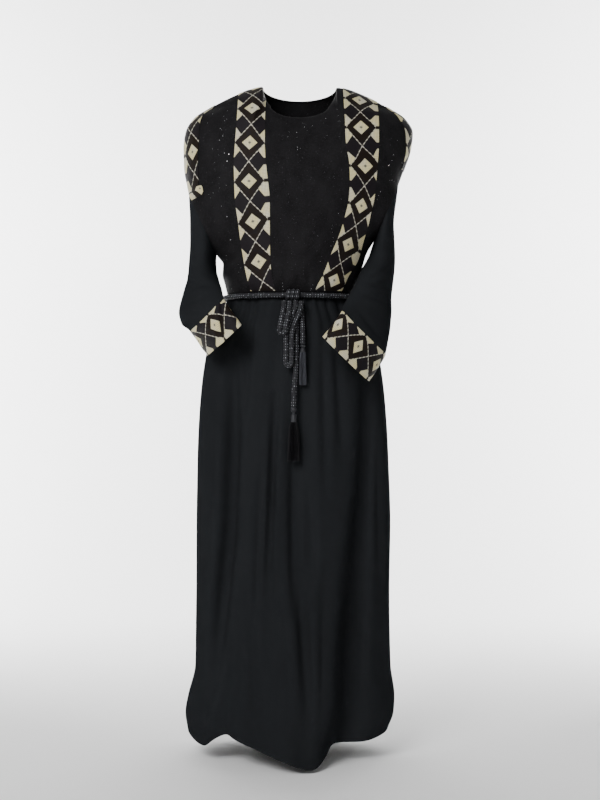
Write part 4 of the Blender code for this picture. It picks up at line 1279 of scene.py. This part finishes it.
def braid_tube(name, route, closed=False):
    """A plaited cord along a route: strands wind both ways and pass over each other in turn."""
    points = rounded_route(np.asarray(route), BRAID_STEP)
    if closed:
        points = np.vstack([points[:-1], points[:1]])
    side, other = frames_along(points)
    run = run_of(points)
    turn = np.linspace(0, 1, BRAID_SIDES, endpoint=False)
    rise = run[:, None] / BRAID_PITCH * BRAID_STRANDS / 2
    one, two = BRAID_STRANDS * turn[None, :] + rise, BRAID_STRANDS * turn[None, :] - rise
    over = (np.floor(one) + np.floor(two)) % 2 == 0
    one, two = one - np.floor(one), two - np.floor(two)
    strand, length = np.where(over, one, two), np.where(over, two, one)
    relief = np.sqrt(1 - (2 * strand - 1) ** 2 * 0.96) * (0.72 + 0.28 * np.sin(np.pi * length))
    radius = CORD / 2 - BRAID_RELIEF * (1 - relief)
    cosine, sine = np.cos(2 * np.pi * turn), np.sin(2 * np.pi * turn)
    ring = side[:, None] * cosine[None, :, None] + other[:, None] * sine[None, :, None]
    grid = points[:, None] + ring * radius[..., None]
    rows = len(grid)
    tube, i, j = cells(rows, BRAID_SIDES, ring=True)
    faces = [tube]
    uvs = [np.stack([j / BRAID_SIDES * np.pi * CORD, run[i]], axis=-1)]
    start = np.arange(0, BRAID_SIDES, 2)
    for end, row in enumerate((0, rows - 1)):
        rim = [row * BRAID_SIDES + (start + n) % BRAID_SIDES for n in range(3)]
        centre = np.full(len(start), rows * BRAID_SIDES + end)
        faces.append(np.stack([centre, *(rim if end else rim[::-1])], axis=-1))
        uvs.append(np.zeros((len(start), 4, 2)))
    places = np.concatenate([grid.reshape(-1, 3), points[[0, -1]]])
    finish = look("Black braid", braid_finish, groups()[1])
    made = mesh_object(name, places, np.concatenate(faces), finish, np.concatenate(uvs).reshape(-1, 2))
    return made, points


def belt_route():
    """The belt's middle line, from one side of the knot round the back to the other."""
    height = WAIST - BELT_DROP
    angles = np.linspace(0, 360, 721)
    share = (height - WAIST) / (np.mean(HEM["z"]) - WAIST)
    points = skirt_points(angles - 90, share, NO_FOLDS)
    points[:, 2] = height
    tangent = unit(np.roll(points, -1, axis=0) - np.roll(points, 1, axis=0))
    outward = np.stack([tangent[:, 1], -tangent[:, 0], np.zeros(len(points))], axis=-1)
    points = (points + outward * (CORD / 2 + BELT_LIFT))[:-1]
    start = int(np.argmin(np.hypot(points[:, 0] - KNOT_X, points[:, 1] + 0.1)))
    loop = np.roll(points, -start, axis=0)
    loop = np.vstack([loop, loop[:1]])
    clear = KNOT_SIZE[0] * 0.4
    return along(loop, np.linspace(clear, run_of(loop)[-1] - clear, BELT_POINTS))


def hang(x_top, x_low, z_low, layers, steps):
    """A cord's way from under the knot down the skirt, this many cords out from it."""
    top = WAIST - BELT_DROP - KNOT_SIZE[2] - CORD_BELOW
    heights = np.linspace(top, z_low, steps)
    share = np.clip((top - CORD_STRAIGHT - heights) / CORD_SWING, 0, 1)
    x = x_top + (x_low - x_top) * share * share * (3 - 2 * share)
    over = min(layers, 1) + max(layers - 1, 0) * np.minimum(2.4 * share, 1)
    out = CORD / 2 + CORD_LIFT + over * (CORD + CORD_APART)
    y = [-(skirt_front_at(a, b) + c) for a, b, c in zip(x, heights, out)]
    return np.stack([x, y, heights], axis=-1)


def loop_route(x_top, x_low, z_low, layers):
    """Down, round a bend and up again, as one loop of the bow hangs."""
    down = hang(x_top[0], x_low[0], z_low, layers, LOOP_STEPS)
    up = hang(x_top[1], x_low[1], z_low, layers, LOOP_STEPS)[::-1]
    middle, radius = (down[-1] + up[0]) / 2, abs(up[0, 0] - down[-1, 0]) / 2
    turn = np.linspace(math.pi, 2 * math.pi, 17)[1:-1]
    bend = middle + np.stack([radius * np.cos(turn), 0 * turn, radius * np.sin(turn)], axis=-1)
    return np.vstack([down, bend, up])


def tassel_place(row):
    """Where a tassel hangs: x, y, the top of its head, and the head's size."""
    x, top, radius, head = (float(TASSELS[key][row]) for key in ("x", "top", "head_r", "head_h"))
    tips = skirt_front_at(x, top - head - TASSELS["strand"][row]) + 0.5 * TASSELS["spread"][row] + 0.002
    y = min(-(skirt_front_at(x, top) + CORD / 2 + CORD_LIFT), -tips)
    return x, float(y), top, radius, head


def tail_route(row):
    x, y, top, _, _ = tassel_place(row)
    name, x_top, x_low, steps = TAILS[row]
    route = hang(x_top, x_low, top + 0.0006, 0, steps)
    reach = np.clip((np.linspace(0, 1, len(route)) - TAIL_EASE) / (1 - TAIL_EASE), 0, 1)
    route[:, :2] += np.outer(reach * reach * (3 - 2 * reach), (x - route[-1, 0], y - route[-1, 1]))
    return name, route


class KAFTAN_OT_belt(bpy.types.Operator):
    """Plait the belt, its knot and the loops of its bow"""

    bl_idname = "kaftan.belt"
    bl_label = "Belt and bow"
    bl_options = {"REGISTER", "UNDO"}

    def execute(self, context):
        belt, _ = braid_tube("belt_braid", belt_route())
        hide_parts("belt_cord")
        for side, x_top, x_low, z_low, layers in BOW_LOOPS:
            loop, _ = braid_tube(f"loop_{side}_braid", loop_route(x_top, x_low, z_low, layers))
            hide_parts(f"loop_{side}")
        _, deep, high = KNOT_SIZE
        low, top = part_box("knot")
        turn = np.linspace(0, 2 * math.pi, 61)
        y = (low[1] + top[1]) / 2 + (deep - CORD / 2) * np.cos(turn)
        z = WAIST - BELT_DROP + (high - CORD / 2) * np.sin(turn)
        for step in (-1, 0, 1):
            x = KNOT_X + step * CORD * WRAP_STEP + WRAP_LEAN * np.sin(turn)
            wrap, _ = braid_tube(f"knot_wrap_{step + 2}", np.stack([x, y, z], axis=-1), closed=True)
            if step == -1:
                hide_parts("knot")
        return {"FINISHED"}


def strands(name, place, row, finish):
    """Fine hanging threads in one mesh, from a head's lower end to just above the skirt."""
    x, y, top, radius, head = place
    count, thick = STRAND_COUNTS[row], STRAND_SIZES[row]
    spread_of, tips = float(TASSELS["spread"][row]), top - head - float(TASSELS["strand"][row])
    chance = np.random.default_rng(11 + row)
    points, faces = [], []
    start = top - head + 0.002
    levels = np.linspace(0, 1, STRAND_LEVELS)
    for k in range(count):
        faces += tube_faces(len(levels), 3, len(points), down=True)
        turn = k * GOLDEN_ANGLE
        out = math.sqrt((k + 0.5) / count)
        root, tip = radius * STRAND_ROOT * out, spread_of * out
        end = tips + chance.uniform(0, STRAND_LOOSE)
        sway = chance.uniform(-1, 1, 2) * STRAND_SWAY
        for level in levels:
            reach = root + (tip - root) * level**STRAND_FLARE
            wave = math.sin(level * 7 + k) * STRAND_WAVE
            px = x + reach * math.cos(turn) + sway[0] * level + wave
            py = y + (1 - STRAND_FLATTEN * level) * reach * math.sin(turn) + sway[1] * level
            for corner in range(3):
                angle = turn + 2 * math.pi * corner / 3
                across, aside = thick * math.cos(angle), thick * math.sin(angle)
                points.append((px + across, py + aside, start + (end - start) * level))
    return mesh_object(name, points, faces, finish)


def turned(name, profile, centre, sides, finish):
    """A solid turned about a vertical axis; the profile is of distance out and height."""
    points = []
    for radius, height in profile:
        for j in range(sides):
            angle = 2 * math.pi * j / sides
            out = centre[0] + radius * math.cos(angle), centre[1] + radius * math.sin(angle)
            points.append((*out, height))
    return mesh_object(name, points, tube_faces(len(profile), sides, down=True), finish)


# How wide a tassel's head is from its top to its end: neck, waist and skirt
HEAD_SHAPE = table(
    "z     r",
    (0.00, 0.50),
    (0.06, 0.95),
    (0.18, 1.00),
    (0.27, 0.90),
    (0.34, 0.52),
    (0.44, 0.52),
    (0.52, 0.86),
    (1.00, 1.00),
)
HEAD_SIDES = 48
HEAD_GROOVE = 0.05


def head_profile(place, ridges):
    """A tassel's head, wound with thread in fine ridges."""
    _, _, top, radius, head = place
    rows = []
    for step in np.linspace(0, 1, ridges * 4 + 1):
        wide = float(smooth(HEAD_SHAPE, "r", step)) * radius
        groove = HEAD_GROOVE * (0.5 + 0.5 * math.cos(step * ridges * 2 * math.pi))
        rows.append((wide * (1 - groove), top - head * step))
    return rows


class KAFTAN_OT_tassels(bpy.types.Operator):
    """Hang the two ends of the belt, each with its tassel"""

    bl_idname = "kaftan.tassels"
    bl_label = "Tassels"
    bl_options = {"REGISTER", "UNDO"}

    def execute(self, context):
        _, trim = groups()
        cap = look("Tassel cap", cap_finish, trim)
        black = look("Tassel thread", thread_finish, trim)
        # The short tassel's thread has its sheen painted in as a lighter grey
        grey = look("Tassel thread, grey", sheen_thread_finish, trim)
        for row, (thread, ridges) in enumerate(((black, 16), (grey, 9))):
            place = tassel_place(row)
            name, route = tail_route(row)
            tail, path = braid_tube(f"tail_{name}_braid", route)
            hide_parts(f"tail_{name}")
            head = turned(f"tassel_{name}_head", head_profile(place, ridges), place[:2], HEAD_SIDES, cap)
            hanging = strands(f"tassel_{name}_strands", place, row, thread)
            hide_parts(f"tassel_{name}")
            float(run_of(path)[-1])
            path[::4].tolist() + [path[-1].tolist()]
        return {"FINISHED"}


# Rhinestones that show brightest in front: where they are, seen from the front
BRIGHT_STONES = table(
    "x       z",
    (-0.153, -0.098),
    (-0.153, -0.115),
    (-0.160, -0.121),
    (-0.173, -0.138),
    (-0.147, -0.148),
    (-0.143, -0.166),
    (-0.155, -0.199),
    (-0.143, -0.216),
    (-0.167, -0.232),
    (-0.153, -0.258),
    (-0.141, -0.280),
    (-0.135, -0.324),
    (-0.001, -0.142),
    (0.003, -0.146),
    (-0.018, -0.240),
    (-0.018, -0.256),
    (-0.008, -0.325),
    (-0.001, -0.377),
    (0.086, -0.120),
    (0.088, -0.152),
    (0.087, -0.190),
    (0.090, -0.205),
    (0.086, -0.248),
    (0.085, -0.274),
    (0.178, -0.016),
    (0.205, -0.054),
    (0.192, -0.014),
)
# The bright ones are a little larger; the others are this much smaller, by the draw
BRIGHT_SIZE, SMALL_SIZES = 1.15, (0.5, 0.95)
# How far the draw moves one from its place: in spacings along its row, and in rows
STONE_LOOSE, STONE_ROWS = 0.4, 3
STONE_SIDES = 8
STONE_RINGS = ((1.0, 0.0), (1.0, 0.18), (0.58, 0.52))


def stone(centre, normal, size, turn):
    """A cut stone's points, from its foot to its flat top."""
    side = unit(np.cross(normal, [0.2, 0.1, 1.0]))
    other = np.cross(normal, side)
    points = []
    for reach, rise in STONE_RINGS:
        for corner in range(STONE_SIDES):
            angle = turn + 2 * math.pi * corner / STONE_SIDES
            out = side * math.cos(angle) + other * math.sin(angle)
            points.append(centre + size / 2 * (reach * out) + size * rise * normal)
    return points


def stone_places(name, grid, spacing, size):
    """Rows, columns and sizes: the bright stones in front, and a loose scatter between them."""
    chance = np.random.default_rng(21)
    found = []
    columns = grid.shape[1]
    taken = np.zeros(columns, bool)
    if name == "bodice_front":
        stops = front_columns()
        for _, _, stop in RIBBON_STRIPS:
            taken[max(0, stops[stop] - 1):stops[stop + 1] + 2] = True
        for x, z in zip(BRIGHT_STONES["x"], BRIGHT_STONES["z"]):
            apart = np.hypot(grid[..., 0] - x, grid[..., 2] - z)
            row, column = np.unravel_index(np.argmin(apart), apart.shape)
            if not taken[column]:
                found.append((float(row), float(column), size * BRIGHT_SIZE))
    run = run_of(grid[:, columns // 2])
    for height in np.arange(spacing, run[-1] - 0.012, spacing):
        row = float(np.interp(height, run, np.arange(len(run))))
        long = run_of(grid[int(row)])
        for reach in np.arange(spacing / 2, long[-1] - 0.01, spacing):
            at = reach + chance.uniform(-STONE_LOOSE, STONE_LOOSE) * spacing
            column = float(np.clip(np.interp(at, long, np.arange(columns)), 1, columns - 2))
            place_row = float(np.clip(row + chance.uniform(-STONE_ROWS, STONE_ROWS), 1, len(run) - 3))
            for step in range(chance.integers(0, 4)):
                wide = size * chance.uniform(*SMALL_SIZES)
                beside = column + chance.uniform(-1, 1)
                below = min(place_row + 2 * step, len(run) - 3)
                if not taken[int(column)] and not taken[int(beside)]:
                    found.append((below, beside, wide))
    return found


def at_cell(grid, row, column):
    """A grid's value between its points."""
    i, j = int(row), int(column)
    s, t = row - i, column - j
    after = min(j + 1, grid.shape[1] - 1)
    low, high = (grid[k, j] * (1 - t) + grid[k, after] * t for k in (i, min(i + 1, len(grid) - 1)))
    return low * (1 - s) + high * s


class KAFTAN_OT_stones(bpy.types.Operator):
    """Set the rhinestones on the bodice, front and back"""

    bl_idname = "kaftan.stones"
    bl_label = "Rhinestones"
    bl_options = {"REGISTER", "UNDO"}

    def execute(self, context):
        _, trim = groups()
        finish = look("Rhinestone", stone_finish, trim)
        for name in ("bodice_front", "bodice_back"):
            grid, up = panels()[name]
            points, faces = [], []
            for row, column, size in stone_places(name, grid, trim.stone_spacing, trim.stone_size):
                centre, normal = at_cell(grid, row, column), unit(at_cell(up, row, column))
                turn = 2.1 * len(faces)
                faces += tube_faces(len(STONE_RINGS), STONE_SIDES, len(points))
                points += stone(centre, normal, size, turn)
            made = mesh_object(f"{name}_stones", points, faces, finish)
            made.data.set_sharp_from_angle(angle=math.radians(10))
        return {"FINISHED"}


def add(name, data, place):
    """A new object of the scene."""
    made = bpy.data.objects.new(name, data)
    made.location = place
    bpy.context.scene.collection.objects.link(made)
    return made


def area_light(name, power, size, place, target):
    data = bpy.data.lights.new(name, "AREA")
    data.shape = "RECTANGLE"
    data.size, data.size_y = size
    data.energy = power
    way = Vector(target) - Vector(place)
    add(name, data, place).rotation_euler = way.to_track_quat("-Z", "Y").to_euler()


# The camera's focal length and the height of its picture, in the photograph's pixels
CAMERA_FOCAL, PICTURE_HEIGHT = 1440, 800


class KAFTAN_OT_stage(bpy.types.Operator):
    """Set up the floor, the backdrop, the lights and the camera"""

    bl_idname = "kaftan.stage"
    bl_label = "Stage"
    bl_options = {"REGISTER", "UNDO"}

    def execute(self, context):
        stage = context.scene.kaftan_stage
        low = stage.floor_height
        bend, far, near, wide, high = 1.4, 3.2, -8.0, 9.0, 7.0
        profile = [(near, low), (far - bend, low)]
        profile += [
            (far - bend + bend * math.sin(turn), low + bend * (1 - math.cos(turn)))
            for turn in np.linspace(0, math.pi / 2, 25)[1:]
        ]
        profile.append((far, high))
        points = [(side * wide, y, z) for y, z in profile for side in (-1, 1)]
        faces = [(2 * i, 2 * i + 1, 2 * i + 3, 2 * i + 2) for i in range(len(profile) - 1)]
        mesh = bpy.data.meshes.new("studio_floor")
        mesh.from_pydata(points, [], faces)
        mesh.shade_smooth()
        made = Finish("Studio paper", 0.9, specular=0.2)
        made.colour(made.shades(made.noise(None, 60.0, 2.0), stage.floor_colour, 0.985, 1.0))
        mesh.materials.append(made.material)
        add("studio_floor", mesh, (0, 0, 0))

        centre = (0, 0, -0.65)
        area_light("front_light", stage.key_power, (1.6, 1.6), (-1.4, -2.8, 1.2), centre)
        area_light("left_light", stage.side_power, (0.8, 2.6), (2.6, -0.9, 0.1), centre)
        area_light("right_light", stage.side_power, (0.8, 2.6), (-2.6, -0.7, 0.1), centre)
        area_light("back_light", stage.side_power, (2.4, 1.6), (0.4, 2.2, 1.6), centre)
        for side in (-1, 1):
            place, target = (2.3 * side, 1.3, 0.2), (1.5 * side, 3.2, -0.3)
            area_light(f"wall_light_{side + 2}", stage.wall_power, (0.8, 2.4), place, target)
        world = bpy.data.worlds.new("studio")
        world.use_nodes = True
        sky = world.node_tree.nodes["Background"]
        sky.inputs["Color"].default_value = (1, 1, 1, 1)
        sky.inputs["Strength"].default_value = stage.world_strength
        context.scene.world = world

        data = bpy.data.cameras.new("camera")
        data.sensor_fit = "VERTICAL"
        data.sensor_height = 24.0
        data.lens = data.sensor_height * CAMERA_FOCAL / PICTURE_HEIGHT
        data.clip_end = 50
        camera = add("camera", data, (0.00625, -stage.camera_distance, -0.65))
        camera.rotation_euler = (math.pi / 2, 0, 0)
        context.scene.camera = camera
        return {"FINISHED"}


OPERATORS = (
    KAFTAN_OT_stage,
    KAFTAN_OT_tassels,
    KAFTAN_OT_belt,
    KAFTAN_OT_bodice,
    KAFTAN_OT_sleeves,
    KAFTAN_OT_skirt,
    KAFTAN_OT_ribbons,
    KAFTAN_OT_cuffs,
    KAFTAN_OT_stones,
)


class KAFTAN_PT_panel(bpy.types.Panel):
    """The kaftan's pieces, its colours and its stage"""

    bl_idname = "KAFTAN_PT_panel"
    bl_label = "Kaftan"
    bl_space_type = "VIEW_3D"
    bl_region_type = "UI"
    bl_category = "Kaftan"

    def draw(self, context):
        for operator in OPERATORS:
            self.layout.operator(operator.bl_idname)
        for group, kind in GROUPS.items():
            box = self.layout.box()
            for name in kind.__annotations__:
                box.prop(getattr(context.scene, group), name)


GROUPS = {"kaftan_cloth": KaftanCloth, "kaftan_trim": KaftanTrim, "kaftan_stage": KaftanStage}
CLASSES = (*GROUPS.values(), *OPERATORS, KAFTAN_PT_panel)


def register():
    for kind in CLASSES:
        bpy.utils.register_class(kind)
    for name, kind in GROUPS.items():
        setattr(bpy.types.Scene, name, bpy.props.PointerProperty(type=kind))


def unregister():
    for name in GROUPS:
        delattr(bpy.types.Scene, name)
    for kind in reversed(CLASSES):
        bpy.utils.unregister_class(kind)


def main():
    register()
    for operator in OPERATORS:
        family, name = operator.bl_idname.split(".")
        getattr(getattr(bpy.ops, family), name)()


if __name__ == "__main__":
    main()
